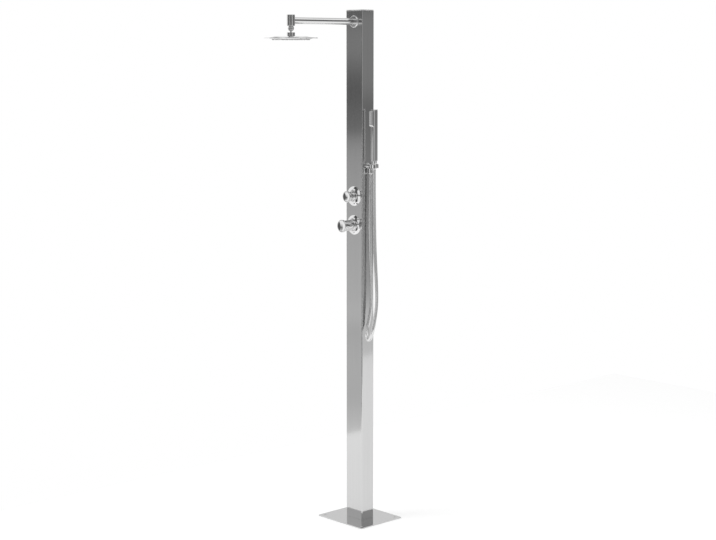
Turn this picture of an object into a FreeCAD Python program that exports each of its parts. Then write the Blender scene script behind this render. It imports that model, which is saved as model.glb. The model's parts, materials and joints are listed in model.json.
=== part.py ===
import FreeCAD
import Part
import math
import os

# Outdoor shower post.  Millimetres, +Z up.  The origin is the centre of the base plate's underside,
# the front face (arm and controls) looks along -Y and the hand shower hangs on the +X side.

Vector = FreeCAD.Vector
UP = Vector(0, 0, 1)
DOWN = Vector(0, 0, -1)
FRONT = Vector(0, -1, 0)
SIDE = Vector(1, 0, 0)

# --- Fits -----------------------------------------------------------------------------------------
fit = 0.05                    # radial clearance of screwed, seated and turning fits
cover_gap = 0.3               # clearance round covers and moving sleeves
edge_break = 1.0              # chamfer on nuts, boss and elbow
arc_middle = 1 - math.sqrt(0.5)   # how far a quarter round's middle stands from both its sides

# --- Post and base --------------------------------------------------------------------------------
total_height = 2000.0
post_width = 90.0             # along X
post_depth = 62.0             # along Y
post_wall = 2.0
post_corner = 2.5             # outside corner radius
post_inner_corner = 0.5
cap_thickness = 3.0
cap_skirt_depth = 12.0
cap_skirt_wall = 2.0
base_width = 250.0
base_depth = 220.0
base_thickness = 4.0
base_corner = 4.0
fixing_spacing_x = 212.0
fixing_spacing_y = 182.0
fixing_hole_radius = 5.0
collar_height = 70.0
collar_wall = 3.0
collar_screw_radius = 2.5
collar_screw_head_radius = 4.5
collar_screw_head_height = 2.5
collar_screw_tail = 2.0       # past the collar's inner side
collar_screw_spacing = 50.0
collar_screw_height = 35.0    # above the base plate

# --- Pipes ----------------------------------------------------------------------------------------
pipe_radius = 6.0
pipe_wall = 1.0
pipe_offset = 24.0            # hot at -X, cold and hand branch at +X, riser on the centre line
socket_depth = 10.0
passage_radius = 4.0
union_radius = 14.0
union_height = 40.0
union_neck_radius = 11.0
union_neck_start = 24.0       # above the union's foot
inlet_thread_radius = 9.3
inlet_thread_length = 18.0
inlet_hole_radius = 11.0      # supply hole in the base plate under each union

# --- Valve blocks ---------------------------------------------------------------------------------
mixer_height = 1174.5
control_spacing = 112.0       # from the mixer up to the diverter
valve_half_width = 32.0
valve_block_depth = 40.0
valve_half_height = 28.0
nose_radius = 12.0
nose_reach = 12.0             # how far the nose stands out of the front face
cavity_radius = 9.5
cavity_depth = 30.0           # behind the inside of the front wall
cartridge_port_radius = 3.0
spindle_radius = 4.5
spindle_inner_length = 10.0   # behind the front face
bonnet_radius = 14.5
bonnet_lip = 3.0
bonnet_start = 6.0            # in front of the post, clear of the lock ring
lock_ring_thickness = 5.0
lock_ring_margin = 3.5        # lock ring beyond the handle's sleeve

# --- Controls -------------------------------------------------------------------------------------
rosette_radius = 38.0
rosette_height = 9.0
rosette_rim = 1.5
rosette_skin = 1.8
rosette_crown_width = 3.0     # flat ring round the sleeve
rosette_fullness = 0.72       # height of the dome's middle over its full rise
mixer_reach = 67.0            # end face of the handle in front of the post
mixer_sleeve_radius = 21.0
mixer_flange_radius = 25.0
diverter_reach = 41.0
diverter_sleeve_radius = 18.0
diverter_flange_radius = 22.0
flange_thickness = 5.0
flange_taper = 1.5
flange_bevel = 1.2
sleeve_wall = 2.5
sleeve_overlap = 2.5          # how deep the sleeve reaches into the rosette
handle_rim = 3.5              # ring of the end face round the cap
handle_web = 7.0
spindle_setback = 1.0         # spindle's end behind the screw head's seat
cap_seat_depth = 9.0
cap_setback = 0.3             # cap behind the handle's end face
dish_depth = 4.0
dish_ledge = 4.5              # flat ring of the cap outside its dish
dish_floor_radius = 5.0
handle_screw_radius = 2.0
handle_screw_length = 9.0
handle_screw_head_radius = 3.6
handle_screw_head_height = 2.4

# --- Arm and head joint ---------------------------------------------------------------------------
arm_drop = 45.0               # arm's axis below the top of the post
arm_radius = 13.0
arm_wall = 2.0
arm_inner_length = 14.0       # behind the inside of the front wall
head_reach = 318.0            # head axis in front of the front face
arm_rosette_radius = 23.0
arm_rosette_height = 4.5
arm_rosette_rim = 1.5
arm_rosette_slope = 4.0       # radius lost between the rim and the top
arm_nut_radius = 20.0
arm_nut_thickness = 6.0
arm_block_half = 20.0
arm_block_bore_radius = 9.0
block_gap = 0.5               # between a lock nut and the block behind it
elbow_radius = 15.0
elbow_rise = 21.5             # above the arm axis
elbow_drop = 20.7             # below the arm axis
elbow_chamfer = 2.5
elbow_bore_radius = 7.5
arm_grip_depth = 9.0          # how deep the arm sits in the elbow
ball_drop = 29.0              # ball centre below the arm axis
housing_radius = 11.5
housing_spigot_radius = 9.5
housing_spigot_length = 7.4
ball_radius = 8.0
neck_radius = 3.5
neck_bore_radius = 2.0
mouth_half_angle = 38.5       # opening of the housing, in degrees from straight down
seat_height = 5.0
seat_start = 3.5              # above the ball centre
seat_bore_radius = 4.0
retainer_bore_radius = 5.0
neck_length = 14.3            # from the ball's centre to the boss

# --- Shower head ----------------------------------------------------------------------------------
head_radius = 100.0
rim_thickness = 3.0
rim_edge_radius = 1.2
chamber_radius = 78.0
chamber_height = 5.0          # above the rim
chamber_skin = 2.0
chamber_edge_radius = 1.5
head_bore_radius = 4.0        # water way from the ball into the chamber
boss_radius = 15.0
boss_height = 14.2
shank_radius = 6.0
shank_length = 11.0
plate_radius = 80.5
plate_thickness = 3.0
plate_bevel = 1.0
nozzle_pitch = 17.0
nozzle_rings = 4
nozzle_radius = 2.3
nozzle_tip_radius = 1.6
nozzle_bore_radius = 0.6
nozzle_length = 3.5           # below the spray plate
mat_thickness = 1.5
mat_margin = 0.5              # gap between the mat and the chamber's wall

# --- Hand outlet and holder -----------------------------------------------------------------------
outlet_rise = 119.5           # from the diverter up to the outlet
outlet_bar_radius = 7.25
outlet_shoulder_radius = 11.0
outlet_shoulder_thickness = 2.0
outlet_nose_radius = 7.4
outlet_nose_length = 15.0     # from the side face inwards
outlet_bore_radius = 4.0
outlet_nut_radius = 13.0
outlet_nut_thickness = 5.0
outlet_block_length = 18.5
outlet_block_depth = 30.0
outlet_block_half_height = 18.0
outlet_block_bore_radius = 6.0
supply_offset = 14.0          # hose nipple from the side face
nipple_radius = 6.5
handset_offset = 34.5         # handset axis from the side face
cradle_radius = 17.0
cradle_height = 16.0
cradle_edge = 0.8
slot_clearance = 0.6          # between the hose and each side of the cradle's slot

# --- Hose and its nuts ----------------------------------------------------------------------------
hose_diameter = 13.0
hose_bore_radius = 4.0
supply_nut_radius = 9.0
supply_nut_length = 20.5
supply_nut_drop = 10.5        # top of the nut below the outlet's axis
nut_floor = 4.0
washer_thickness = 2.0
cone_drop = 11.0              # foot of the handset's nut below the outlet's axis
cone_length = 23.0            # tapered part
cone_collar = 6.7             # straight part above the taper
cone_top_radius = 11.2
cone_bottom_radius = 9.3
hose_lead = 68.0              # straight first and last run
# Bends of the hose from the supply nut round the loop to the handset's nut, as distance out from
# the side face, place along Y and depth below the outlet's axis.
hose_bends = [
    (13.5, -3.5, 209.0),
    (14.5, -1.5, 342.0),
    (19.0, 2.0, 456.0),
    (20.5, 1.5, 535.0),
    (17.0, -7.0, 593.0),
    (11.0, -16.0, 639.0),
    (30.5, -34.0, 671.0),
    (68.0, -56.5, 671.0),
    (94.5, -64.5, 636.0),
    (95.0, -53.0, 583.0),
    (85.0, -33.5, 528.0),
    (64.5, -15.5, 456.0),
    (47.5, -7.0, 342.0),
    (38.0, -2.0, 209.0),
]
arc_share = 0.45              # arc tangent length over the shorter run beside it

# --- Handset --------------------------------------------------------------------------------------
handset_width = 20.0          # along X
handset_depth = 27.0          # along Y
handset_corner = 5.0
handset_wall = 2.0
handset_length = 197.0
handset_floor = 4.0
handset_cap_thickness = 2.5
handset_cap_plug = 6.0
handset_tube_radius = 4.0
handset_tube_wall = 0.8
spray_width = 18.0
spray_projection = 6.0
spray_start = 130.0           # above the handset's foot
spray_length = 60.0
spray_slope = 6.0             # height of the sloped lower end
spray_skin = 2.0
spray_edge = 1.2
spray_columns = 3
spray_rows = 11
spray_pitch = 4.5
spray_hole_radius = 1.1
spray_tip_radius = 0.8
spray_tip_length = 0.8        # in front of the spray face
spray_mat_thickness = 1.2
spray_window_width = 9.0      # opening in the stick behind the spray head

# --- Worked-out places ----------------------------------------------------------------------------
diverter_height = mixer_height + control_spacing
outlet_height = diverter_height + outlet_rise
arm_height = total_height - arm_drop
front_y = -post_depth / 2
side_x = post_width / 2
inner_front_y = front_y + post_wall
inner_side_x = side_x - post_wall
pipe_y = inner_front_y + valve_block_depth / 2
head_y = front_y - head_reach
ball_centre = Vector(0, head_y, arm_height - ball_drop)
boss_top = ball_centre.z - neck_length
boss_bottom = boss_top - boss_height
rim_underside = boss_bottom - chamber_height - rim_thickness
plate_underside = rim_underside - plate_thickness
cavity_wall_radius = chamber_radius - chamber_skin
supply_x = side_x + supply_offset
handset_x = side_x + handset_offset
handset_front_y = -handset_depth / 2
spray_front_y = handset_front_y - spray_projection
hose_radius = hose_diameter / 2
supply_nut_bottom = outlet_height - supply_nut_drop - supply_nut_length
nipple_end = supply_nut_bottom + nut_floor + washer_thickness
cone_bottom = outlet_height - cone_drop
cone_shoulder = cone_bottom + cone_length
cone_top = cone_shoulder + cone_collar
handset_nipple_end = cone_bottom + nut_floor + washer_thickness + fit
handset_bottom = cone_top + cover_gap
handset_top = handset_bottom + handset_length
spray_bottom = handset_bottom + spray_start
spray_top = spray_bottom + spray_length
tube_top = spray_bottom + spray_slope


# --- Shape helpers --------------------------------------------------------------------------------
def block(x_span, y_span, z_span):
    """A box between the given low and high values on each axis."""
    size = [span[1] - span[0] for span in (x_span, y_span, z_span)]
    return Part.makeBox(*size, Vector(x_span[0], y_span[0], z_span[0]))


def rounded_block(width, depth, corner, z_span, centre_x=0.0, centre_y=0.0):
    """An upright box with rounded vertical edges, centred in plan."""
    solid = block((centre_x - width / 2, centre_x + width / 2),
                  (centre_y - depth / 2, centre_y + depth / 2), z_span)
    upright = [edge for edge in solid.Edges if abs(edge.tangentAt(edge.FirstParameter).z) > 0.9]
    return solid.makeFillet(corner, upright)


def rod(radius, start, direction, length):
    """A cylinder from start along direction."""
    return Part.makeCylinder(radius, length, start, direction)


def pipe(x, z_span):
    """A straight upright pipe inside the post."""
    start = Vector(x, pipe_y, z_span[0])
    length = z_span[1] - z_span[0]
    return rod(pipe_radius, start, UP, length).cut(rod(pipe_radius - pipe_wall, start, UP, length))


def turned(outline, centre, direction):
    """A turned solid.

    outline is a closed list of (radius, distance) corners, where a corner with four numbers is
    reached by an arc through its first two.  Distance runs from centre along direction.
    """
    edges = []
    corners = [Vector(item[-2], 0, item[-1]) for item in outline]
    for index, item in enumerate(outline):
        begin = corners[index - 1]
        if len(item) == 4:
            edges.append(Part.Arc(begin, Vector(item[0], 0, item[1]), corners[index]).toShape())
        else:
            edges.append(Part.LineSegment(begin, corners[index]).toShape())
    face = Part.Face(Part.Wire(edges))
    solid = face.revolve(Vector(0, 0, 0), UP, 360)
    solid.Placement = FreeCAD.Placement(centre, FreeCAD.Rotation(UP, direction))
    return solid


def ring(inner, outer, start, length, centre, direction):
    """A plain ring between two radii."""
    corners = [(inner, start), (outer, start), (outer, start + length), (inner, start + length)]
    return turned(corners, centre, direction)


def on_front(height):
    """The point of the front face on the centre line at this height."""
    return Vector(0, front_y, height)


# --- Post and base --------------------------------------------------------------------------------
def fixing_points():
    """Centres of the four fixing holes."""
    return [Vector(sx * fixing_spacing_x / 2, sy * fixing_spacing_y / 2, 0)
            for sx in (-1, 1) for sy in (-1, 1)]


def base_plate():
    plate = rounded_block(base_width, base_depth, base_corner, (0, base_thickness))
    for point in fixing_points():
        plate = plate.cut(rod(fixing_hole_radius, point, UP, base_thickness))
    for x in (-pipe_offset, pipe_offset):
        plate = plate.cut(rod(inlet_hole_radius, Vector(x, pipe_y, 0), UP, base_thickness))
    return plate


def collar_screw_points():
    """Where the two rear screws pass the outside of the post."""
    z = base_thickness + collar_screw_height
    return [Vector(side * collar_screw_spacing / 2, -front_y, z) for side in (-1, 1)]


def foot_collar():
    outer_width = post_width - 2 * (post_wall + cover_gap)
    outer_depth = post_depth - 2 * (post_wall + cover_gap)
    span = (base_thickness, base_thickness + collar_height)
    solid = rounded_block(outer_width, outer_depth, post_corner, span)
    hollow = block((-outer_width / 2 + collar_wall, outer_width / 2 - collar_wall),
                   (-outer_depth / 2 + collar_wall, outer_depth / 2 - collar_wall), span)
    solid = solid.cut(hollow)
    reach = post_wall + cover_gap + collar_wall
    for point in collar_screw_points():
        solid = solid.cut(rod(collar_screw_radius + fit, point, FRONT, reach))
    return solid


def collar_screw(point):
    length = post_wall + cover_gap + collar_wall + collar_screw_tail
    head = rod(collar_screw_head_radius, point, -FRONT, collar_screw_head_height)
    return head.fuse(rod(collar_screw_radius, point, FRONT, length)).removeSplitter()


def post_tube():
    span = (base_thickness, total_height - cap_thickness)
    tube = rounded_block(post_width, post_depth, post_corner, span)
    tube = tube.cut(rounded_block(post_width - 2 * post_wall, post_depth - 2 * post_wall,
                                  post_inner_corner, span))
    for height in (mixer_height, diverter_height):
        tube = tube.cut(rod(nose_radius + cover_gap, on_front(height), -FRONT, post_wall))
    tube = tube.cut(rod(arm_radius + cover_gap, on_front(arm_height), -FRONT, post_wall))
    outlet = Vector(side_x, 0, outlet_height)
    tube = tube.cut(rod(outlet_nose_radius + cover_gap, outlet, -SIDE, post_wall))
    for point in collar_screw_points():
        tube = tube.cut(rod(collar_screw_radius + cover_gap, point, FRONT, post_wall))
    return tube


def top_cap():
    seat = total_height - cap_thickness
    plate = rounded_block(post_width, post_depth, post_corner, (seat, total_height))
    outer_width = post_width - 2 * (post_wall + cover_gap)
    outer_depth = post_depth - 2 * (post_wall + cover_gap)
    span = (seat - cap_skirt_depth, seat)
    skirt = rounded_block(outer_width, outer_depth, post_corner, span)
    skirt = skirt.cut(block((-outer_width / 2 + cap_skirt_wall, outer_width / 2 - cap_skirt_wall),
                            (-outer_depth / 2 + cap_skirt_wall, outer_depth / 2 - cap_skirt_wall),
                            span))
    return plate.fuse(skirt).removeSplitter()


# --- Pipework -------------------------------------------------------------------------------------
def inlet_union(x):
    """Screwed union that stands on the base plate and takes the supply thread from below."""
    foot = Vector(x, pipe_y, base_thickness)
    socket = union_height - socket_depth
    outline = [
        (inlet_thread_radius, 0),
        (union_radius, 0),
        (union_radius, union_neck_start),
        (union_neck_radius, union_height),
        (pipe_radius + fit, union_height),
        (pipe_radius + fit, socket),
        (passage_radius, socket),
        (passage_radius, inlet_thread_length),
        (inlet_thread_radius, inlet_thread_length),
    ]
    return turned(outline, foot, UP)


def supply_pipe(x):
    low = base_thickness + union_height - socket_depth
    return pipe(x, (low, mixer_height - valve_half_height + socket_depth))


def link_pipe():
    return pipe(0, (mixer_height + valve_half_height - socket_depth,
                    diverter_height - valve_half_height + socket_depth))


def riser_pipe():
    return pipe(0, (diverter_height + valve_half_height - socket_depth,
                    arm_height - arm_block_half + socket_depth))


def branch_pipe():
    return pipe(pipe_offset, (diverter_height + valve_half_height - socket_depth,
                              outlet_height - outlet_block_half_height + socket_depth))


def socket(x, face_z, direction):
    """Pipe socket in a block's top or bottom face, with nothing behind it."""
    return rod(pipe_radius + fit, Vector(x, pipe_y, face_z), direction, socket_depth)


# --- Valve behind one control ---------------------------------------------------------------------
def valve_body(height, lower_pipes, upper_pipes):
    """Cast block behind the front wall, with a screwed nose through it."""
    body = block((-valve_half_width, valve_half_width),
                 (inner_front_y, inner_front_y + valve_block_depth),
                 (height - valve_half_height, height + valve_half_height))
    root = Vector(0, inner_front_y, height)
    nose_length = post_wall + nose_reach
    body = body.fuse(rod(nose_radius, root, FRONT, nose_length)).removeSplitter()
    bottom_of_cavity = Vector(0, inner_front_y + cavity_depth, height)
    body = body.cut(rod(cavity_radius, bottom_of_cavity, FRONT, cavity_depth + nose_length))
    faces = [(lower_pipes, height - valve_half_height, UP)]
    faces.append((upper_pipes, height + valve_half_height, DOWN))
    for pipes, face_z, inward in faces:
        for x in pipes:
            body = body.cut(socket(x, face_z, inward))
            start = Vector(x, pipe_y, face_z)
            body = body.cut(rod(passage_radius, start, inward, valve_half_height))
            if x:
                cross = Vector(x, pipe_y, height)
                towards = Vector(-math.copysign(1, x), 0, 0)
                body = body.cut(rod(passage_radius, cross, towards, abs(x)))
    return body


def cartridge(height):
    """Ceramic cartridge that fills the valve's cavity and guides the spindle."""
    back = -(post_wall + cavity_depth)
    radius = cavity_radius - fit
    bore = spindle_radius + fit
    outline = [(0, back), (radius, back), (radius, nose_reach), (bore, nose_reach),
               (bore, -spindle_inner_length - fit), (0, -spindle_inner_length - fit)]
    body = turned(outline, on_front(height), FRONT)
    for direction in (SIDE, UP):
        start = Vector(0, pipe_y, height) - direction * cavity_radius
        body = body.cut(rod(cartridge_port_radius, start, direction, 2 * cavity_radius))
    return body


def lock_ring(height, sleeve_radius):
    """Ring nut on the nose that clamps the front wall against the valve block."""
    return ring(nose_radius + fit, sleeve_radius + lock_ring_margin, 0, lock_ring_thickness,
                on_front(height), FRONT)


def bonnet(height):
    """Cap nut on the nose that holds the cartridge in."""
    outline = [
        (nose_radius + fit, bonnet_start),
        (bonnet_radius, bonnet_start),
        (bonnet_radius, nose_reach + bonnet_lip),
        (spindle_radius + cover_gap, nose_reach + bonnet_lip),
        (spindle_radius + cover_gap, nose_reach),
        (nose_radius + fit, nose_reach),
    ]
    return turned(outline, on_front(height), FRONT)


def rosette(height, sleeve_radius):
    """Domed cover plate that seats on the lock ring and closes on the post."""
    hole = sleeve_radius + cover_gap
    seat = sleeve_radius + lock_ring_margin
    crown = hole + rosette_crown_width
    mid_radius = (rosette_radius + crown) / 2
    mid_height = rosette_rim + (rosette_height - rosette_rim) * rosette_fullness
    outline = [
        (hole, lock_ring_thickness),
        (seat, lock_ring_thickness),
        (rosette_radius - rosette_skin, 0),
        (rosette_radius, 0),
        (rosette_radius, rosette_rim),
        (mid_radius, mid_height, crown, rosette_height),
        (hole, rosette_height),
    ]
    return turned(outline, on_front(height), FRONT)


def web_front(reach):
    """Distance of the handle's web from the front face: the seat of its cap and screw."""
    return reach - cap_seat_depth


def spindle(height, reach):
    """Turning stem from the cartridge to the handle, with the screw's thread in its end."""
    end = web_front(reach) - spindle_setback
    hole = handle_screw_radius + fit
    depth = end - handle_screw_length
    outline = [(0, -spindle_inner_length), (spindle_radius, -spindle_inner_length),
               (spindle_radius, end), (hole, end), (hole, depth), (0, depth)]
    return turned(outline, on_front(height), FRONT)


def handle(height, reach, sleeve_radius, flange_radius):
    """Round sleeve with a wider end, hollow over the bonnet and open at the front for its cap."""
    start = rosette_height - sleeve_overlap
    inside = sleeve_radius - sleeve_wall
    seat = web_front(reach)
    hole = spindle_radius + fit
    mouth = flange_radius - handle_rim
    outline = [
        (inside, start),
        (sleeve_radius, start),
        (sleeve_radius, reach - flange_thickness - flange_taper),
        (flange_radius, reach - flange_thickness),
        (flange_radius, reach - flange_bevel),
        (flange_radius - flange_bevel, reach),
        (mouth, reach),
        (mouth, seat),
        (hole, seat),
        (hole, seat - handle_web),
        (inside, seat - handle_web),
    ]
    return turned(outline, on_front(height), FRONT)


def handle_cap(height, reach, flange_radius):
    """Dished disc that closes the handle's end over the screw."""
    edge = flange_radius - handle_rim - fit
    dish = edge - dish_ledge
    seat = web_front(reach)
    pocket = handle_screw_head_radius + cover_gap
    pocket_top = seat + handle_screw_head_height + cover_gap
    outline = [
        (0, pocket_top),
        (pocket, pocket_top),
        (pocket, seat),
        (edge, seat),
        (edge, reach - cap_setback),
        (dish, reach - cap_setback),
        (dish_floor_radius, reach - dish_depth),
        (0, reach - dish_depth),
    ]
    return turned(outline, on_front(height), FRONT)


def handle_screw(height, reach):
    """Screw that ties the handle to the spindle, under the cap."""
    seat = web_front(reach)
    tip = seat - handle_screw_length
    head_top = seat + handle_screw_head_height
    outline = [(0, tip), (handle_screw_radius, tip), (handle_screw_radius, seat),
               (handle_screw_head_radius, seat), (handle_screw_head_radius, head_top),
               (0, head_top)]
    return turned(outline, on_front(height), FRONT)


def control(name, height, reach, sleeve_radius, flange_radius, lower_pipes, upper_pipes):
    """All the pieces of one control, by node name."""
    return {
        name + "_body": valve_body(height, lower_pipes, upper_pipes),
        name + "_cartridge": cartridge(height),
        name + "_lock_ring": lock_ring(height, sleeve_radius),
        name + "_bonnet": bonnet(height),
        name + "_rosette": rosette(height, sleeve_radius),
        name + "_spindle": spindle(height, reach),
        name + "_handle": handle(height, reach, sleeve_radius, flange_radius),
        name + "_handle_cap": handle_cap(height, reach, flange_radius),
        name + "_handle_screw": handle_screw(height, reach),
    }


# --- Arm ------------------------------------------------------------------------------------------
def arm_tube():
    start = Vector(0, inner_front_y + arm_inner_length, arm_height)
    end_y = head_y + elbow_radius - arm_grip_depth
    length = start.y - end_y
    return rod(arm_radius, start, FRONT, length).cut(rod(arm_radius - arm_wall, start, FRONT, length))


def arm_rosette():
    hole = arm_radius + fit
    outline = [(hole, 0), (arm_rosette_radius, 0), (arm_rosette_radius, arm_rosette_rim),
               (arm_rosette_radius - arm_rosette_slope, arm_rosette_height),
               (hole, arm_rosette_height)]
    return turned(outline, on_front(arm_height), FRONT)


def arm_lock_nut():
    return ring(arm_radius + fit, arm_nut_radius, post_wall, arm_nut_thickness,
                on_front(arm_height), -FRONT)


def arm_inlet_elbow():
    """Block on the arm's inner end that turns the riser's water into the arm."""
    near = inner_front_y + arm_nut_thickness + block_gap
    far = pipe_y + arm_block_half
    low = arm_height - arm_block_half
    body = block((-arm_block_half, arm_block_half), (near, far),
                 (low, arm_height + arm_block_half))
    arm_end = inner_front_y + arm_inner_length
    body = body.cut(rod(arm_radius + fit, Vector(0, near, arm_height), -FRONT, arm_end - near))
    depth = pipe_y + pipe_radius - arm_end
    body = body.cut(rod(arm_block_bore_radius, Vector(0, arm_end, arm_height), -FRONT, depth))
    body = body.cut(socket(0, low, UP))
    return body.cut(rod(passage_radius, Vector(0, pipe_y, low), UP, arm_block_half))


def head_elbow():
    """Upright chrome cylinder at the arm's end, bored for the arm and for the ball housing."""
    top = arm_height + elbow_rise
    bottom = arm_height - elbow_drop
    chamfer = elbow_chamfer
    axis = Vector(0, head_y, bottom)
    height = top - bottom
    outline = [(0, 0), (elbow_radius - chamfer, 0), (elbow_radius, chamfer),
               (elbow_radius, height - edge_break), (elbow_radius - edge_break, height),
               (0, height)]
    body = turned(outline, axis, UP)
    grip = Vector(0, head_y + elbow_radius - arm_grip_depth, arm_height)
    body = body.cut(rod(arm_radius + fit, grip, -FRONT, elbow_radius))
    body = body.cut(rod(elbow_bore_radius, grip, FRONT, elbow_radius - arm_grip_depth))
    body = body.cut(rod(housing_spigot_radius + fit, axis, UP, housing_spigot_length))
    return body.cut(rod(elbow_bore_radius, axis, UP, elbow_drop))


# --- Ball joint -----------------------------------------------------------------------------------
def ball_housing():
    """Round housing screwed into the elbow, with a ball seat and a mouth for the neck."""
    spigot_top = arm_height - elbow_drop + housing_spigot_length
    height = spigot_top - ball_centre.z
    body = Part.makeSphere(housing_radius, ball_centre)
    body = body.fuse(rod(housing_spigot_radius, ball_centre, UP, height)).removeSplitter()
    body = body.cut(Part.makeSphere(ball_radius + fit, ball_centre))
    body = body.cut(rod(ball_radius + fit, ball_centre, UP, height))
    mouth = housing_radius * math.tan(math.radians(mouth_half_angle))
    return body.cut(Part.makeCone(0, mouth, housing_radius, ball_centre, DOWN))


def ball_seat():
    """Ring that presses on the top of the ball and turns with it."""
    start = ball_centre + UP * seat_start
    body = rod(ball_radius, start, UP, seat_height)
    body = body.cut(Part.makeSphere(ball_radius + fit, ball_centre))
    return body.cut(rod(seat_bore_radius, start, UP, seat_height))


def seat_retainer():
    """Tube that holds the seat down, clamped between it and the elbow's shoulder."""
    start = ball_centre + UP * (seat_start + seat_height + fit)
    spigot_top = arm_height - elbow_drop + housing_spigot_length
    length = spigot_top - start.z
    return rod(ball_radius, start, UP, length).cut(rod(retainer_bore_radius, start, UP, length))


def swivel_ball():
    """Ball with a neck and a shank that screws into the head's boss."""
    shank_bottom = boss_top - shank_length
    body = Part.makeSphere(ball_radius, ball_centre)
    neck = rod(neck_radius, ball_centre, DOWN, ball_centre.z - boss_top)
    shank = rod(shank_radius, Vector(0, head_y, boss_top), DOWN, shank_length)
    body = body.fuse([neck, shank]).removeSplitter()
    length = ball_centre.z + ball_radius - shank_bottom
    return body.cut(rod(neck_bore_radius, Vector(0, head_y, shank_bottom), UP, length))


# --- Shower head ----------------------------------------------------------------------------------
def head_boss():
    axis = Vector(0, head_y, boss_bottom)
    floor = boss_height - shank_length
    outline = [
        (head_bore_radius, 0),
        (boss_radius, 0),
        (boss_radius, boss_height - edge_break),
        (boss_radius - edge_break, boss_height),
        (shank_radius + fit, boss_height),
        (shank_radius + fit, floor),
        (head_bore_radius, floor),
    ]
    return turned(outline, axis, UP)


def head_shell():
    """Top of the head: a thin round rim and a low raised water chamber."""
    axis = Vector(0, head_y, rim_underside)
    hole = head_bore_radius
    chamber_top = rim_thickness + chamber_height
    shoulder = chamber_edge_radius
    edge = rim_edge_radius
    half = edge * arc_middle
    outline = [
        (cavity_wall_radius, 0),
        (head_radius - edge, 0),
        (head_radius - half, half, head_radius, edge),
        (head_radius, rim_thickness - edge),
        (head_radius - half, rim_thickness - half, head_radius - edge, rim_thickness),
        (chamber_radius, rim_thickness),
        (chamber_radius, chamber_top - shoulder),
        (chamber_radius - shoulder * arc_middle, chamber_top - shoulder * arc_middle,
         chamber_radius - shoulder, chamber_top),
        (hole, chamber_top),
        (hole, chamber_top - chamber_skin),
        (cavity_wall_radius, chamber_top - chamber_skin),
    ]
    return turned(outline, axis, UP)


def nozzle_points():
    """Centre and rings of nozzles, six more on each ring."""
    points = [(0.0, 0.0)]
    for ring_number in range(1, nozzle_rings + 1):
        count = 6 * ring_number
        radius = nozzle_pitch * ring_number
        for step in range(count):
            angle = 2 * math.pi * step / count
            points.append((radius * math.cos(angle), radius * math.sin(angle)))
    return points


def spray_plate():
    axis = Vector(0, head_y, plate_underside)
    outline = [(0, 0), (plate_radius - plate_bevel, 0), (plate_radius, plate_bevel),
               (plate_radius, plate_thickness), (0, plate_thickness)]
    plate = turned(outline, axis, UP)
    holes = [rod(nozzle_radius + fit, axis + Vector(x, y, 0), UP, plate_thickness)
             for x, y in nozzle_points()]
    return plate.cut(Part.makeCompound(holes))


def spray_nozzles():
    """Soft mat on the spray plate with one hollow tip through each hole."""
    mat = rod(cavity_wall_radius - mat_margin, Vector(0, head_y, rim_underside), UP, mat_thickness)
    stem = plate_thickness
    tips = []
    bores = []
    for x, y in nozzle_points():
        top = Vector(x, head_y + y, rim_underside)
        outline = [(0, 0), (nozzle_radius, 0), (nozzle_radius, stem),
                   (nozzle_tip_radius, stem + nozzle_length), (0, stem + nozzle_length)]
        tips.append(turned(outline, top, DOWN))
        bore_top = top + UP * mat_thickness
        bores.append(rod(nozzle_bore_radius, bore_top, DOWN, mat_thickness + stem + nozzle_length))
    return mat.fuse(tips).cut(Part.makeCompound(bores))


# --- Hand outlet and holder -----------------------------------------------------------------------
def cone_radius_at(z):
    """Radius of the handset nut's cone at this height."""
    share = (z - cone_bottom) / cone_length
    return cone_bottom_radius + (cone_top_radius - cone_bottom_radius) * share


def cradle():
    """Holder ring for the handset's cone nut, slotted outwards so that the hose can pass."""
    low = outlet_height - cradle_height / 2
    high = outlet_height + cradle_height / 2
    edge = cradle_edge
    axis = Vector(handset_x, 0, low)
    outline = [
        (cone_radius_at(low) + cover_gap, 0),
        (cradle_radius - edge, 0),
        (cradle_radius, edge),
        (cradle_radius, cradle_height - edge),
        (cradle_radius - edge, cradle_height),
        (cone_radius_at(high) + cover_gap, cradle_height),
    ]
    slot = hose_radius + slot_clearance
    opening = block((handset_x, handset_x + cradle_radius), (-slot, slot), (low, high))
    return turned(outline, axis, UP).cut(opening)


def outlet_bracket():
    """Water outlet and holder in one casting: screwed nose, shoulder, bar, hose nipple, cradle."""
    face = Vector(side_x, 0, outlet_height)
    inner_end = face - SIDE * outlet_nose_length
    nose = rod(outlet_nose_radius, inner_end, SIDE, outlet_nose_length)
    shoulder = rod(outlet_shoulder_radius, face, SIDE, outlet_shoulder_thickness)
    ring_wall = cradle_radius - cone_top_radius - cover_gap
    bar_length = handset_offset - cradle_radius + ring_wall / 2
    bar = rod(outlet_bar_radius, face, SIDE, bar_length)
    elbow = Vector(supply_x, 0, outlet_height)
    nipple = rod(nipple_radius, elbow, DOWN, outlet_height - nipple_end)
    body = cradle().fuse([nose, shoulder, bar, nipple]).removeSplitter()
    water_length = outlet_nose_length + supply_offset
    body = body.cut(rod(outlet_bore_radius, inner_end, SIDE, water_length))
    return body.cut(rod(outlet_bore_radius, elbow, DOWN, outlet_height - nipple_end))


def outlet_lock_nut():
    return ring(outlet_nose_radius + fit, outlet_nut_radius, post_wall, outlet_nut_thickness,
                Vector(side_x, 0, outlet_height), -SIDE)


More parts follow.
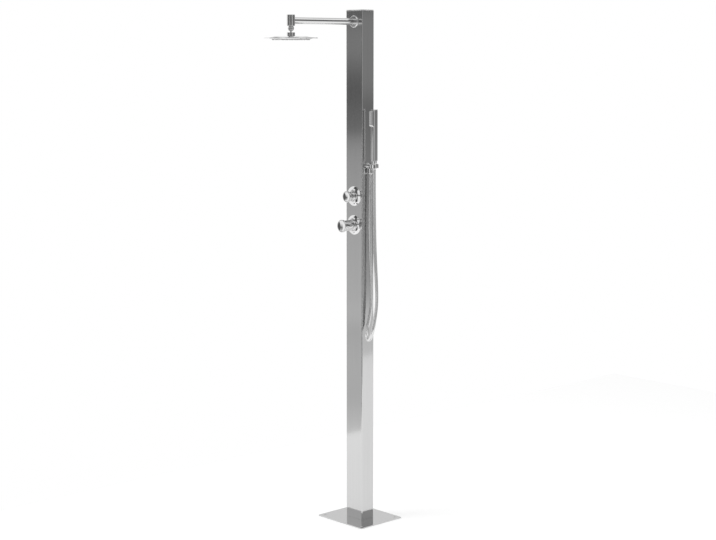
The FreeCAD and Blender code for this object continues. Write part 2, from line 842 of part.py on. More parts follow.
def outlet_elbow():
    """Block on the outlet's inner end that takes the branch pipe from below."""
    near_x = inner_side_x - outlet_nut_thickness - block_gap
    nose_end = side_x - outlet_nose_length
    low = outlet_height - outlet_block_half_height
    body = block((near_x - outlet_block_length, near_x),
                 (pipe_y - outlet_block_depth / 3, pipe_y + outlet_block_depth * 2 / 3),
                 (low, outlet_height + outlet_block_half_height))
    face = Vector(near_x, 0, outlet_height)
    body = body.cut(rod(outlet_nose_radius + fit, face, -SIDE, near_x - nose_end))
    body = body.cut(rod(outlet_block_bore_radius, face, -SIDE, near_x - pipe_offset))
    body = body.cut(socket(pipe_offset, low, UP))
    start = Vector(pipe_offset, pipe_y, low)
    return body.cut(rod(passage_radius, start, UP, outlet_block_half_height))


# --- Hose -----------------------------------------------------------------------------------------
def supply_hose_nut():
    """Nut on the outlet's nipple; the hose leaves its underside."""
    axis = Vector(supply_x, 0, supply_nut_bottom)
    height = supply_nut_length
    bore = nipple_radius + fit
    outline = [
        (hose_bore_radius, 0),
        (supply_nut_radius - edge_break, 0),
        (supply_nut_radius, edge_break),
        (supply_nut_radius, height - edge_break),
        (supply_nut_radius - edge_break, height),
        (bore, height),
        (bore, nut_floor),
        (hose_bore_radius, nut_floor),
    ]
    return turned(outline, axis, UP)


def supply_hose_washer():
    start = Vector(supply_x, 0, supply_nut_bottom + nut_floor)
    return ring(hose_bore_radius, nipple_radius, 0, washer_thickness, start, UP)


def handset_cone_nut():
    """Conical nut at the hose's end: it sits in the cradle and the handset turns on it."""
    axis = Vector(handset_x, 0, cone_bottom)
    height = cone_top - cone_bottom
    bore = nipple_radius + fit
    outline = [
        (hose_bore_radius, 0),
        (cone_bottom_radius, 0),
        (cone_top_radius, cone_length),
        (cone_top_radius, height),
        (bore, height),
        (bore, nut_floor),
        (hose_bore_radius, nut_floor),
    ]
    return turned(outline, axis, UP)


def handset_washer():
    start = Vector(handset_x, 0, cone_bottom + nut_floor)
    return ring(hose_bore_radius, nipple_radius, 0, washer_thickness, start, UP)


def route_points():
    """The hose's route from the supply nut, round the loop, to the handset's nut."""
    start = Vector(supply_x, 0, supply_nut_bottom)
    end = Vector(handset_x, 0, cone_bottom)
    bends = [Vector(side_x + out, y, outlet_height - depth) for out, y, depth in hose_bends]
    return [start, start + DOWN * hose_lead, *bends, end + DOWN * hose_lead, end]


def route_wire():
    """Straight runs joined by tangent arcs along the hose's route."""
    points = route_points()
    edges = []
    reached = points[0]
    for before, corner, after in zip(points, points[1:], points[2:]):
        arriving = (corner - before).normalize()
        leaving = (after - corner).normalize()
        shorter = min((corner - before).Length, (after - corner).Length)
        tangent = arc_share * shorter
        half_turn = arriving.getAngle(leaving) / 2
        radius = tangent / math.tan(half_turn)
        print("hose turn %5.1f deg, radius %7.1f mm" % (math.degrees(2 * half_turn), radius))
        begin = corner - arriving * tangent
        end = corner + leaving * tangent
        inward = (leaving - arriving).normalize()
        middle = corner + inward * (radius / math.cos(half_turn) - radius)
        edges.append(Part.LineSegment(reached, begin).toShape())
        edges.append(Part.Arc(begin, middle, end).toShape())
        reached = end
    edges.append(Part.LineSegment(reached, points[-1]).toShape())
    return Part.Wire(edges)


def swept(path, radius):
    """Round section carried along the hose's path."""
    start = path.Edges[0].firstVertex().Point
    direction = path.Edges[0].tangentAt(path.Edges[0].FirstParameter)
    section = Part.Wire([Part.Circle(start, direction, radius).toShape()])
    return path.makePipeShell([section], True, False)


def hand_hose():
    path = route_wire()
    hose = swept(path, hose_radius).cut(swept(path, hose_bore_radius))
    section = math.pi * (hose_radius ** 2 - hose_bore_radius ** 2)
    print("hose length %.1f mm, volume over section x length %.4f"
          % (path.Length, hose.Volume / (section * path.Length)))
    return hose


# --- Handset --------------------------------------------------------------------------------------
def handset_body():
    """Upright hollow stick, its floor bored for nipple and water tube, a window at the spray."""
    top = handset_top - handset_cap_thickness
    body = rounded_block(handset_width, handset_depth, handset_corner, (handset_bottom, top),
                         handset_x)
    hollow = rounded_block(handset_width - 2 * handset_wall, handset_depth - 2 * handset_wall,
                           handset_corner - handset_wall, (handset_bottom + handset_floor, top),
                           handset_x)
    window = block((handset_x - spray_window_width / 2, handset_x + spray_window_width / 2),
                   (handset_front_y, handset_front_y + handset_wall),
                   (tube_top, spray_top - spray_slope))
    foot = Vector(handset_x, 0, handset_bottom)
    half_floor = handset_floor / 2
    nipple_seat = rod(nipple_radius + fit, foot, UP, half_floor)
    tube_seat = rod(handset_tube_radius + fit, foot, UP, handset_floor)
    return body.cut(hollow).cut(window).cut(nipple_seat).cut(tube_seat)


def handset_nipple():
    """Screwed insert in the stick's floor: it reaches down through the nut to its washer."""
    foot = Vector(handset_x, 0, handset_nipple_end)
    length = handset_bottom + handset_floor / 2 - handset_nipple_end
    return ring(handset_tube_radius - handset_tube_wall, nipple_radius, 0, length, foot, UP)


def handset_water_tube():
    """Tube inside the stick that carries water up to the spray."""
    start = Vector(handset_x, 0, handset_bottom + handset_floor / 2)
    length = tube_top - start.z
    tube = rod(handset_tube_radius, start, UP, length)
    return tube.cut(rod(handset_tube_radius - handset_tube_wall, start, UP, length))


def handset_top_cap():
    seat = handset_top - handset_cap_thickness
    plate = rounded_block(handset_width, handset_depth, handset_corner, (seat, handset_top),
                          handset_x)
    inset = 2 * (handset_wall + fit)
    plug = rounded_block(handset_width - inset, handset_depth - inset,
                         handset_corner - handset_wall, (seat - handset_cap_plug, seat), handset_x)
    return plate.fuse(plug).removeSplitter()


def spray_profile(inset, back_y):
    """Side outline of the raised spray head, drawn in by inset on all but its back."""
    front = spray_front_y + inset
    low = spray_bottom + inset
    high = spray_top - inset
    corners = [(back_y, low), (handset_front_y, low), (front, low + spray_slope),
               (front, high), (back_y, high)]
    if abs(back_y - handset_front_y) < 1e-6:
        corners.pop(0)
    points = [Vector(handset_x - spray_width / 2 + inset, y, z) for y, z in corners]
    face = Part.Face(Part.makePolygon(points + points[:1]))
    return face.extrude(Vector(spray_width - 2 * inset, 0, 0))


def spray_tips():
    """Places of the spray openings on the handset, as (x, z)."""
    middle_z = (spray_bottom + spray_slope + spray_top) / 2
    places = []
    for column in range(spray_columns):
        for row in range(spray_rows):
            x = handset_x + (column - (spray_columns - 1) / 2) * spray_pitch
            z = middle_z + (row - (spray_rows - 1) / 2) * spray_pitch
            places.append((x, z))
    return places


def handset_spray_head():
    """Raised oblong spray head on the front of the stick."""
    body = spray_profile(0, handset_front_y)
    front_edges = [edge for edge in body.Edges
                   if all(abs(vertex.Y - spray_front_y) < 1e-6 for vertex in edge.Vertexes)]
    body = body.makeFillet(spray_edge, front_edges)
    body = body.cut(spray_profile(spray_skin, handset_front_y))
    for x, z in spray_tips():
        body = body.cut(rod(spray_hole_radius, Vector(x, spray_front_y, z), -FRONT, spray_skin))
    return body


def handset_nozzles():
    """Soft strip behind the spray face with a small tip through each opening."""
    back = spray_front_y + spray_skin
    inner_half = spray_width / 2 - spray_skin - fit
    low = spray_bottom + spray_slope + spray_skin + fit
    high = spray_top - spray_skin - fit
    strip = block((handset_x - inner_half, handset_x + inner_half),
                  (back, back + spray_mat_thickness), (low, high))
    reach = spray_skin + spray_tip_length
    tips = [rod(spray_tip_radius, Vector(x, back, z), FRONT, reach) for x, z in spray_tips()]
    return strip.fuse(tips)


# --- Assembly -------------------------------------------------------------------------------------
def all_parts():
    """Every sub-part by node name."""
    parts = {
        "base_plate": base_plate(),
        "foot_collar": foot_collar(),
        "post_tube": post_tube(),
        "top_cap": top_cap(),
        "inlet_union_hot": inlet_union(-pipe_offset),
        "inlet_union_cold": inlet_union(pipe_offset),
        "pipe_hot": supply_pipe(-pipe_offset),
        "pipe_cold": supply_pipe(pipe_offset),
        "link_pipe": link_pipe(),
        "riser_pipe": riser_pipe(),
        "branch_pipe": branch_pipe(),
    }
    for side, point in zip(("left", "right"), collar_screw_points()):
        parts["collar_screw_" + side] = collar_screw(point)
    parts.update(control("mixer", mixer_height, mixer_reach, mixer_sleeve_radius,
                         mixer_flange_radius, (-pipe_offset, pipe_offset), (0,)))
    parts.update(control("diverter", diverter_height, diverter_reach, diverter_sleeve_radius,
                         diverter_flange_radius, (0,), (0, pipe_offset)))
    makers = [
        arm_tube, arm_rosette, arm_lock_nut, arm_inlet_elbow, head_elbow,
        ball_housing, ball_seat, seat_retainer, swivel_ball,
        head_boss, head_shell, spray_plate, spray_nozzles,
        outlet_bracket, outlet_lock_nut, outlet_elbow,
        supply_hose_nut, supply_hose_washer, hand_hose, handset_cone_nut, handset_washer,
        handset_body, handset_nipple, handset_water_tube, handset_top_cap, handset_spray_head,
        handset_nozzles,
    ]
    for make in makers:
        parts[make.__name__] = make()
    return parts


os.makedirs("parts", exist_ok=True)
for name, shape in all_parts().items():
    if not shape.isValid():
        raise ValueError(name + " is not a valid solid")
    shape.exportStep(os.path.join("parts", name + ".step"))
    print("%-20s %2d solid %12.1f mm3" % (name, len(shape.Solids), shape.Volume))
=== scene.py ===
"""Outdoor shower post: camera, hose, finishes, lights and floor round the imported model."""

import json
import logging
import math
from dataclasses import dataclass, field
from enum import Enum

import bmesh
import bpy
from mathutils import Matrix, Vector


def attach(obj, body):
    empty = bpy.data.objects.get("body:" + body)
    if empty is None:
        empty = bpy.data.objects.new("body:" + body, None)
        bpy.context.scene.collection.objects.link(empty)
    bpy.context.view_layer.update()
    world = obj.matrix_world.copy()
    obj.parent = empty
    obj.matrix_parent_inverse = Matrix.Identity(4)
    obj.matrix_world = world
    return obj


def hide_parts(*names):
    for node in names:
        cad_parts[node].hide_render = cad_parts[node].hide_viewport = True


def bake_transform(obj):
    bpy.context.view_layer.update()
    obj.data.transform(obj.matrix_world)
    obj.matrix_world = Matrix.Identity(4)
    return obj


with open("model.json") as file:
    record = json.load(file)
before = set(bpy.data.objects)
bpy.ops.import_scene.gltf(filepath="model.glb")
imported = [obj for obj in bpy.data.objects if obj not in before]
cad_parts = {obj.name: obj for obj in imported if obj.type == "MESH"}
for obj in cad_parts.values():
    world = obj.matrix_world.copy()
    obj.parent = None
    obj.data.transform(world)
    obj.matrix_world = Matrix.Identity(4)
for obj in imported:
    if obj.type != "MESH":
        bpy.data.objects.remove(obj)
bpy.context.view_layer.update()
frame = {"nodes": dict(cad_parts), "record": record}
log = logging.getLogger("shower_post")

Point = tuple[float, float, float]
Corner = tuple[float, float, float]
Colour = tuple[float, float, float]
Span = tuple[float, float]
Levels = tuple[tuple[float, float], ...]
Ring = list[bmesh.types.BMVert]

UP: Point = (0.0, 0.0, 1.0)
DOWN: Point = (0.0, 0.0, -1.0)
FORWARD: Point = (0.0, -1.0, 0.0)
SIDEWAYS: Point = (1.0, 0.0, 0.0)
ROUND_SIDES = 72
CORNER_STEPS = 5  # Runs in one rounded corner of an outline.
CORNER_REACH = 0.49  # The most of a neighbouring run that a rounded corner takes up.
ON_AXIS = 1e-6  # A ring smaller than this is one point on the axis.
MIX_COLOURS = (6, 7)  # A mix node's inputs for its two colours.


# --- Shapes ---
def linked(name: str, data: bpy.types.ID) -> bpy.types.Object:
    """Makes an object in the scene.

    Args:
        name: The object's name.
        data: Its mesh, curve, lamp or camera.

    Returns:
        The object.
    """
    made = bpy.data.objects.new(name, data)
    bpy.context.scene.collection.objects.link(made)
    return made


def aimed(thing: bpy.types.Object, place: Point, direction: Vector) -> None:
    """Puts a camera or lamp at a place and points it in a direction.

    Args:
        thing: The camera or lamp.
        place: Where it goes.
        direction: Where it looks.
    """
    thing.location = place
    thing.rotation_mode = "QUATERNION"
    thing.rotation_quaternion = direction.to_track_quat("-Z", "Y")


def mesh_of(name: str, shape: bmesh.types.BMesh) -> bpy.types.Mesh:
    """Turns a worked shape into a mesh.

    Args:
        name: The mesh's name.
        shape: The shape, which is used up.

    Returns:
        The mesh.
    """
    mesh = bpy.data.meshes.new(name)
    shape.to_mesh(mesh)
    shape.free()
    return mesh


def smooth_mesh(name: str, shape: bmesh.types.BMesh) -> bpy.types.Mesh:
    """Turns a worked shape into a smooth shaded mesh with its faces outward.

    Args:
        name: The mesh's name.
        shape: The shape, which is used up.

    Returns:
        The mesh.
    """
    bmesh.ops.recalc_face_normals(shape, faces=shape.faces)
    for face in shape.faces:
        face.smooth = True
    return mesh_of(name, shape)


def joined(name: str, meshes: list[bpy.types.Mesh]) -> bpy.types.Mesh:
    """Puts several meshes into one.

    Args:
        name: The new mesh's name.
        meshes: The meshes, which are used up.

    Returns:
        The mesh that holds them all.
    """
    shape = bmesh.new()
    for mesh in meshes:
        shape.from_mesh(mesh)
        bpy.data.meshes.remove(mesh)
    return mesh_of(name, shape)


def round_ring(shape: bmesh.types.BMesh, centre: Vector, across: Vector, beside: Vector,
               radius: float, sides: int) -> Ring:
    """Adds a round ring of points to a shape.

    Args:
        shape: The shape that gets the points.
        centre: The ring's centre.
        across: The direction of its first point.
        beside: The direction of the point a quarter turn on.
        radius: Its radius.
        sides: How many points it has.

    Returns:
        The ring's points in order.
    """
    turns = [2 * math.pi * step / sides for step in range(sides)]
    return [shape.verts.new(centre + (across * math.cos(turn) + beside * math.sin(turn)) * radius)
            for turn in turns]


def bridge(shape: bmesh.types.BMesh, rings: list[Ring], ends: bool = False) -> None:
    """Joins rings of points with faces, one ring to the next.

    Args:
        shape: The shape that the rings are in.
        rings: The rings, where one that repeats a single point is the tip of a cone.
        ends: Whether the first and the last ring are closed with a face.
    """
    for low, high in zip(rings, rings[1:]):
        for step in range(len(low)):
            after = (step + 1) % len(low)
            face = list(dict.fromkeys((low[step], low[after], high[after], high[step])))
            if len(face) > 2:
                shape.faces.new(face).smooth = True
    if ends:
        shape.faces.new(list(reversed(rings[0])))
        shape.faces.new(rings[-1])


def tube_mesh(name: str, points: list[Vector], radius: float, sides: int) -> bpy.types.Mesh:
    """Makes a closed round tube that follows a line without twisting.

    Args:
        name: The mesh's name.
        points: The line's points in order.
        radius: The tube's radius.
        sides: How many faces go round it.

    Returns:
        The mesh, smooth shaded between its flat ends.
    """
    shape = bmesh.new()
    across = Vector((1, 0, 0))
    before = (points[1] - points[0]).normalized()
    rings = []
    for index, point in enumerate(points):
        ahead = points[min(index + 1, len(points) - 1)]
        along = (ahead - points[max(index - 1, 0)]).normalized()
        across = before.rotation_difference(along) @ across
        across = (across - along * across.dot(along)).normalized()
        before = along
        rings.append(round_ring(shape, point, across, along.cross(across), radius, sides))
    bridge(shape, rings, ends=True)
    return mesh_of(name, shape)


def softened(corners: list[Corner]) -> list[tuple[float, float]]:
    """Rounds the corners of an outline.

    Args:
        corners: Distance from the axis, place along it and softness of each corner.

    Returns:
        The outline's points.
    """
    points = []
    for index, (radius, place, softness) in enumerate(corners):
        here = Vector((radius, place))
        if softness == 0.0:
            points.append(here)
            continue
        before = Vector(corners[index - 1][:2]) - here
        after = Vector(corners[(index + 1) % len(corners)][:2]) - here
        reach = min(softness, CORNER_REACH * before.length, CORNER_REACH * after.length)
        start, end = here + before.normalized() * reach, here + after.normalized() * reach
        for step in range(CORNER_STEPS + 1):
            share = step / CORNER_STEPS
            points.append(start.lerp(here, share).lerp(here.lerp(end, share), share))
    return [(point.x, point.y) for point in points]


def turned(name: str, corners: list[Corner], origin: Point, axis: Point,
           sides: int = ROUND_SIDES) -> bpy.types.Mesh:
    """Turns an outline round an axis, as on a lathe.

    Args:
        name: The mesh's name.
        corners: The outline's corners, as softened takes them. Its last corner joins its first,
            unless one of them is on the axis.
        origin: The place on the axis that distances along it start from.
        axis: The axis's direction.
        sides: How many faces go round.

    Returns:
        The mesh.
    """
    along = Vector(axis).normalized()
    across = along.orthogonal().normalized()
    beside = along.cross(across)
    shape = bmesh.new()
    rings = []
    for radius, place in softened(corners):
        centre = Vector(origin) + along * place
        if radius < ON_AXIS:
            rings.append([shape.verts.new(centre)] * sides)
        else:
            rings.append(round_ring(shape, centre, across, beside, radius, sides))
    if rings[0][0] is not rings[0][1] and rings[-1][0] is not rings[-1][1]:
        rings.append(rings[0])
    bridge(shape, rings)
    return smooth_mesh(name, shape)


def rounded_ends(low: float, high: float, low_soft: float, high_soft: float,
                 steps: int) -> list[tuple[float, float]]:
    """Works out a wall whose foot and head curve inward over a quarter turn.

    Args:
        low: Where the wall starts.
        high: Where it ends.
        low_soft: The radius of its foot.
        high_soft: The radius of its head.
        steps: How many runs make one quarter turn.

    Returns:
        Heights with how far the wall is drawn in there.
    """
    quarter = [math.pi / 2 * step / steps for step in range(steps + 1)]
    foot = [(low + low_soft * (1 - math.sin(turn)), low_soft * (1 - math.cos(turn)))
            for turn in reversed(quarter)]
    head = [(high - high_soft * (1 - math.sin(turn)), high_soft * (1 - math.cos(turn)))
            for turn in quarter]
    return foot + head


@dataclass(frozen=True)
class Bar:
    """Upright bar with rounded corners and softened ends."""

    width: float
    depth: float
    corner: float
    low: float
    high: float
    centre_x: float = 0.0
    low_soft: float = 0.0005
    high_soft: float = 0.0005
    corner_steps: int = 8
    end_steps: int = 4

    def outline(self, inset: float) -> list[tuple[float, float]]:
        """Works out the bar's section.

        Args:
            inset: How far the section is drawn in.

        Returns:
            The section's points.
        """
        radius = self.corner - inset
        reach_x, reach_y = self.width / 2 - self.corner, self.depth / 2 - self.corner
        points = []
        for quarter, (side_x, side_y) in enumerate(((1, 1), (-1, 1), (-1, -1), (1, -1))):
            for step in range(self.corner_steps + 1):
                turn = math.pi / 2 * (quarter + step / self.corner_steps)
                points.append((self.centre_x + side_x * reach_x + radius * math.cos(turn),
                               side_y * reach_y + radius * math.sin(turn)))
        return points

    def mesh(self, name: str) -> bpy.types.Mesh:
        """Makes the bar.

        Args:
            name: The mesh's name.

        Returns:
            The closed mesh.
        """
        shape = bmesh.new()
        levels = rounded_ends(self.low, self.high, self.low_soft, self.high_soft, self.end_steps)
        rings = [[shape.verts.new((x, y, height)) for x, y in self.outline(inset)]
                 for height, inset in levels]
        bridge(shape, rings, ends=True)
        return smooth_mesh(name, shape)


# --- Camera and hose ---
@dataclass
class PhotoCamera:
    """Camera at the photograph's place, aimed a little down at the post."""

    place: Point = (4.426, -4.160, 1.840)
    yaw: float = math.radians(46.846)
    pitch: float = math.radians(7.411)
    lens: float = 78.86
    shift_y: float = -0.0196
    clip_end: float = 60.0

    def build(self) -> None:
        """Makes the camera and gives it to the scene."""
        data = bpy.data.cameras.new("photo_camera")
        data.lens = self.lens
        data.shift_y = self.shift_y
        data.clip_end = self.clip_end
        camera = linked("photo_camera", data)
        level = math.cos(self.pitch)
        aimed(camera, self.place, Vector((-math.sin(self.yaw) * level,
                                          math.cos(self.yaw) * level, -math.sin(self.pitch))))
        bpy.context.scene.camera = camera
        log.info("camera at %s", self.place)


@dataclass
class HangingHose:
    """Smooth silver hose in one long loop from the outlet's nut to the hand shower's nut."""

    radius: float = 0.0065
    sides: int = 28
    real_length: float = 1.37
    steps_per_point: int = 14
    stretch_start: Point = (0.0765, 0.0, 0.8)
    stretch_end: Point = (0.07825, 0.00175, 0.800026)
    route: tuple[Point, ...] = (
        (0.0590, 0.0000, 1.375), (0.0590, 0.0000, 1.307), (0.0585, -0.0035, 1.197),
        (0.0595, -0.0015, 1.064), (0.0640, 0.0020, 0.950), (0.0655, 0.0015, 0.871),
        (0.0620, -0.0070, 0.813), (0.0560, -0.0160, 0.767), (0.0755, -0.0340, 0.735),
        (0.1130, -0.0565, 0.735), (0.1395, -0.0645, 0.770), (0.1400, -0.0530, 0.823),
        (0.1300, -0.0335, 0.878), (0.1095, -0.0155, 0.950), (0.0925, -0.0070, 1.064),
        (0.0830, -0.0020, 1.197), (0.0795, 0.0000, 1.327), (0.0795, 0.0000, 1.395),
    )

    def centreline(self) -> list[Vector]:
        """Reads the smooth line of the route.

        Returns:
            Points along the route's NURBS spline, from the outlet's end to the hand shower's.
        """
        data = bpy.data.curves.new("hose_route", "CURVE")
        data.dimensions = "3D"
        spline = data.splines.new("NURBS")
        spline.points.add(len(self.route) - 1)
        for point, place in zip(spline.points, self.route):
            point.co = (*place, 1.0)
        spline.order_u = 3
        spline.use_endpoint_u = True
        spline.resolution_u = self.steps_per_point
        holder = linked("hose_route", data)
        line = bpy.data.meshes.new_from_object(holder)
        points = [vertex.co.copy() for vertex in line.vertices]
        bpy.data.objects.remove(holder)
        bpy.data.meshes.remove(line)
        bpy.data.curves.remove(data)
        return points

    def build(self, end_pieces: list[bpy.types.Object]) -> bpy.types.Object:
        """Args:
            end_pieces: The nuts at the hose's two ends; not used.

        Returns:
            The hose object.
        """
        points = self.centreline()
        hose = linked("hose", tube_mesh("hose", points, self.radius, self.sides))
        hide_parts("hand_hose")
        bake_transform(hose)
        log.info("hose of %d rings", len(points))
        return hose


# --- Shader bench ---
def grey(level: float) -> Colour:
    """Returns a neutral colour."""
    return (level, level, level)


def full_colour(value: object) -> object:
    """Returns a level of grey as a colour of four numbers, and a socket as it is."""
    return (*grey(value), 1.0) if isinstance(value, float) else value


class Bench:
    """A node tree with short ways to add nodes and join them."""

    def __init__(self, tree: bpy.types.NodeTree) -> None:
        """Keeps the node tree to work on."""
        self.tree = tree

    def fill(self, node: bpy.types.Node, values: dict) -> None:
        """Sets the inputs of a node.

        Args:
            node: The node.
            values: Input names or numbers with a plain value, or a socket to join to them.
        """
        for name, value in values.items():
            target = node.inputs[name]
            if isinstance(value, bpy.types.NodeSocket):
                self.tree.links.new(value, target)
            else:
                target.default_value = value

    def add(self, kind: str, values: dict | None = None, **settings: object) -> bpy.types.Node:
        """Adds a node.

        Args:
            kind: The node's type name without its ShaderNode start.
            values: What goes into its inputs, as fill takes it.
            **settings: Properties of the node itself.

        Returns:
            The new node.
        """
        node = self.tree.nodes.new("ShaderNode" + kind)
        for name, value in settings.items():
            setattr(node, name, value)
        self.fill(node, values or {})
        return node

    def math(self, operation: str, first: object, second: object = 0.0,
             clamp: bool = False) -> bpy.types.NodeSocket:
        """Adds a math node.

        Args:
            operation: The node's operation.
            first: The first value or socket.
            second: The second value or socket.
            clamp: Whether the result stays between 0 and 1.

        Returns:
            The result socket.
        """
        return self.add("Math", {0: first, 1: second}, operation=operation,
                        use_clamp=clamp).outputs[0]

    def times(self, first: object, second: object) -> bpy.types.NodeSocket:
        """Returns the product of two values or sockets."""
        return self.math("MULTIPLY", first, second)

    def dot(self, first: object, second: object) -> bpy.types.NodeSocket:
        """Returns how far two directions agree, from -1 to 1."""
        return self.add("VectorMath", {0: first, 1: second},
                        operation="DOT_PRODUCT").outputs["Value"]

    def ramp(self, value: bpy.types.NodeSocket,
             stops: list[tuple[float, Colour]]) -> bpy.types.NodeSocket:
        """Adds a colour ramp.

        Args:
            value: The socket that picks the place on the ramp.
            stops: Places with their colours, in rising order.

        Returns:
            The colour socket.
        """
        node = self.add("ValToRGB", {"Fac": value})
        ramp = node.color_ramp
        while len(ramp.elements) < len(stops):
            ramp.elements.new(0.5)
        for element, (place, colour) in zip(ramp.elements, stops):
            element.position = place
            element.color = (*colour, 1.0)
        return node.outputs["Color"]

    def blend(self, share: object, first: object, second: object) -> bpy.types.NodeSocket:
        """Adds a colour mix.

        Args:
            share: How much of the second colour shows.
            first: The first colour's socket, or a level of grey.
            second: The second colour's socket, or a level of grey.

        Returns:
            The mixed colour's socket.
        """
        below, above = MIX_COLOURS
        return self.add("Mix", {0: share, below: full_colour(first), above: full_colour(second)},
                        data_type="RGBA").outputs[2]

    def spread(self, value: bpy.types.NodeSocket, span: Span) -> bpy.types.NodeSocket:
        """Maps a span of a value to 0 to 1, held at the ends."""
        return self.add("MapRange", {"Value": value, "From Min": span[0], "From Max": span[1],
                                     "To Min": 0.0, "To Max": 1.0}).outputs["Result"]


class Effects:
    """Shader groups that several finishes share, each built once."""

    def __init__(self) -> None:
        """Builds the groups."""
        self.grain = self.brushed_grain()
        self.marks = self.water_marks()
        # Edge mask and rounded normal; the mask lightens steel along its edges, partly as wear
        # and partly as a painted highlight.
        self.wear = self.edge_wear_and_highlight()

    @staticmethod
    def start(name: str, inputs: list[tuple[str, str, object]],
              outputs: list[tuple[str, str]]) -> tuple[Bench, dict, bpy.types.Node]:
        """Makes an empty group with its sockets.

        Args:
            name: The group's name.
            inputs: Socket names with their type and first value.
            outputs: Socket names with their type.

        Returns:
            A bench on the group, its input sockets by name and its output node.
        """
        tree = bpy.data.node_groups.new(name, "ShaderNodeTree")
        for label, kind, value in inputs:
            socket = tree.interface.new_socket(label, in_out="INPUT", socket_type=kind)
            socket.default_value = value
        for label, kind in outputs:
            tree.interface.new_socket(label, in_out="OUTPUT", socket_type=kind)
        entry = tree.nodes.new("NodeGroupInput")
        leave = tree.nodes.new("NodeGroupOutput")
        return Bench(tree), {label: entry.outputs[label] for label, _, _ in inputs}, leave

    def brushed_grain(self) -> bpy.types.NodeTree:
        """Builds long fine scratches: stretched noise as a tone and a height.

        Returns:
            The group.
        """
        bench, given, leave = self.start(
            "Brushed grain",
            [("Stretch", "NodeSocketVector", (900.0, 900.0, 9.0)),
             ("Contrast", "NodeSocketFloat", 1.0)],
            [("Tone", "NodeSocketFloat"), ("Height", "NodeSocketFloat")])
        fine_share, wide_share, middle = 0.6, 0.4, 0.5
        place = bench.add("TexCoord").outputs["Object"]
        stretched = bench.add("VectorMath", {0: place, 1: given["Stretch"]},
                              operation="MULTIPLY").outputs[0]
        fine = bench.add("TexNoise", {"Vector": stretched, "Scale": 1.0, "Detail": 3.0,
                                      "Roughness": 0.6}).outputs["Fac"]
        wide = bench.add("TexNoise", {"Vector": stretched, "Scale": 0.13, "Detail": 2.0,
                                      "Roughness": 0.5}).outputs["Fac"]
        both = bench.math("ADD", bench.times(fine, fine_share), bench.times(wide, wide_share))
        centred = bench.times(bench.math("SUBTRACT", both, middle), given["Contrast"])
        tone = bench.math("ADD", centred, middle, clamp=True)
        bench.fill(leave, {"Tone": tone, "Height": fine})
        return bench.tree

    def water_marks(self) -> bpy.types.NodeTree:
        """Builds faint dried drops and wiped haze as a mask.

        Returns:
            The group.
        """
        bench, given, leave = self.start(
            "Water marks",
            [("Drop scale", "NodeSocketFloat", 120.0), ("Haze scale", "NodeSocketFloat", 9.0)],
            [("Mask", "NodeSocketFloat")])
        drop_radius, rim_sharpness, haze_patch = 0.28, 12.0, (0.52, 0.72)
        rim_share, haze_share = 0.6, 0.35
        place = bench.add("TexCoord").outputs["Object"]
        drops = bench.add("TexVoronoi", {"Vector": place, "Scale": given["Drop scale"]},
                          feature="F1").outputs["Distance"]
        off_rim = bench.math("ABSOLUTE", bench.math("SUBTRACT", drops, drop_radius))
        rim = bench.math("SUBTRACT", 1.0, bench.times(off_rim, rim_sharpness), clamp=True)
        haze = bench.add("TexNoise", {"Vector": place, "Scale": given["Haze scale"],
                                      "Detail": 4.0}).outputs["Fac"]
        patch = bench.spread(haze, haze_patch)
        mask = bench.math("ADD", bench.times(bench.times(rim, patch), rim_share),
                          bench.times(haze, haze_share), clamp=True)
        bench.fill(leave, {"Mask": mask})
        return bench.tree

    def edge_wear_and_highlight(self) -> bpy.types.NodeTree:
        """Builds edges that are partly polished by wear and partly a painted highlight: a mask
        where the surface turns sharply, and a rounded normal.

        Returns:
            The group.
        """
        bench, given, leave = self.start(
            "Edge wear and highlight", [("Radius", "NodeSocketFloat", 0.0006)],
            [("Mask", "NodeSocketFloat"), ("Normal", "NodeSocketVector")])
        flat_to_edge = (0.9995, 0.92)
        rounded = bench.add("Bevel", {"Radius": given["Radius"]}, samples=6).outputs["Normal"]
        plain = bench.add("NewGeometry").outputs["Normal"]
        mask = bench.spread(bench.dot(rounded, plain), flat_to_edge)
        bench.fill(leave, {"Mask": mask, "Normal": rounded})
        return bench.tree


# --- Finishes ---
class GrainRun(Enum):
    """Which way a surface was ground, as the stretch of its scratches."""

    UP = (1100.0, 1100.0, 7.0)
    ALONG_X = (7.0, 1100.0, 1100.0)
    ROUND = (260.0, 260.0, 260.0)


def fresh_material(name: str) -> tuple[bpy.types.Material, Bench, bpy.types.Node]:
    """Makes a material with one Principled shader.

    Args:
        name: The material's name.

    Returns:
        The material, a bench on its tree and the shader node.
    """
    material = bpy.data.materials.new(name)
    material.use_nodes = True
    shader = material.node_tree.nodes["Principled BSDF"]
    return material, Bench(material.node_tree), shader


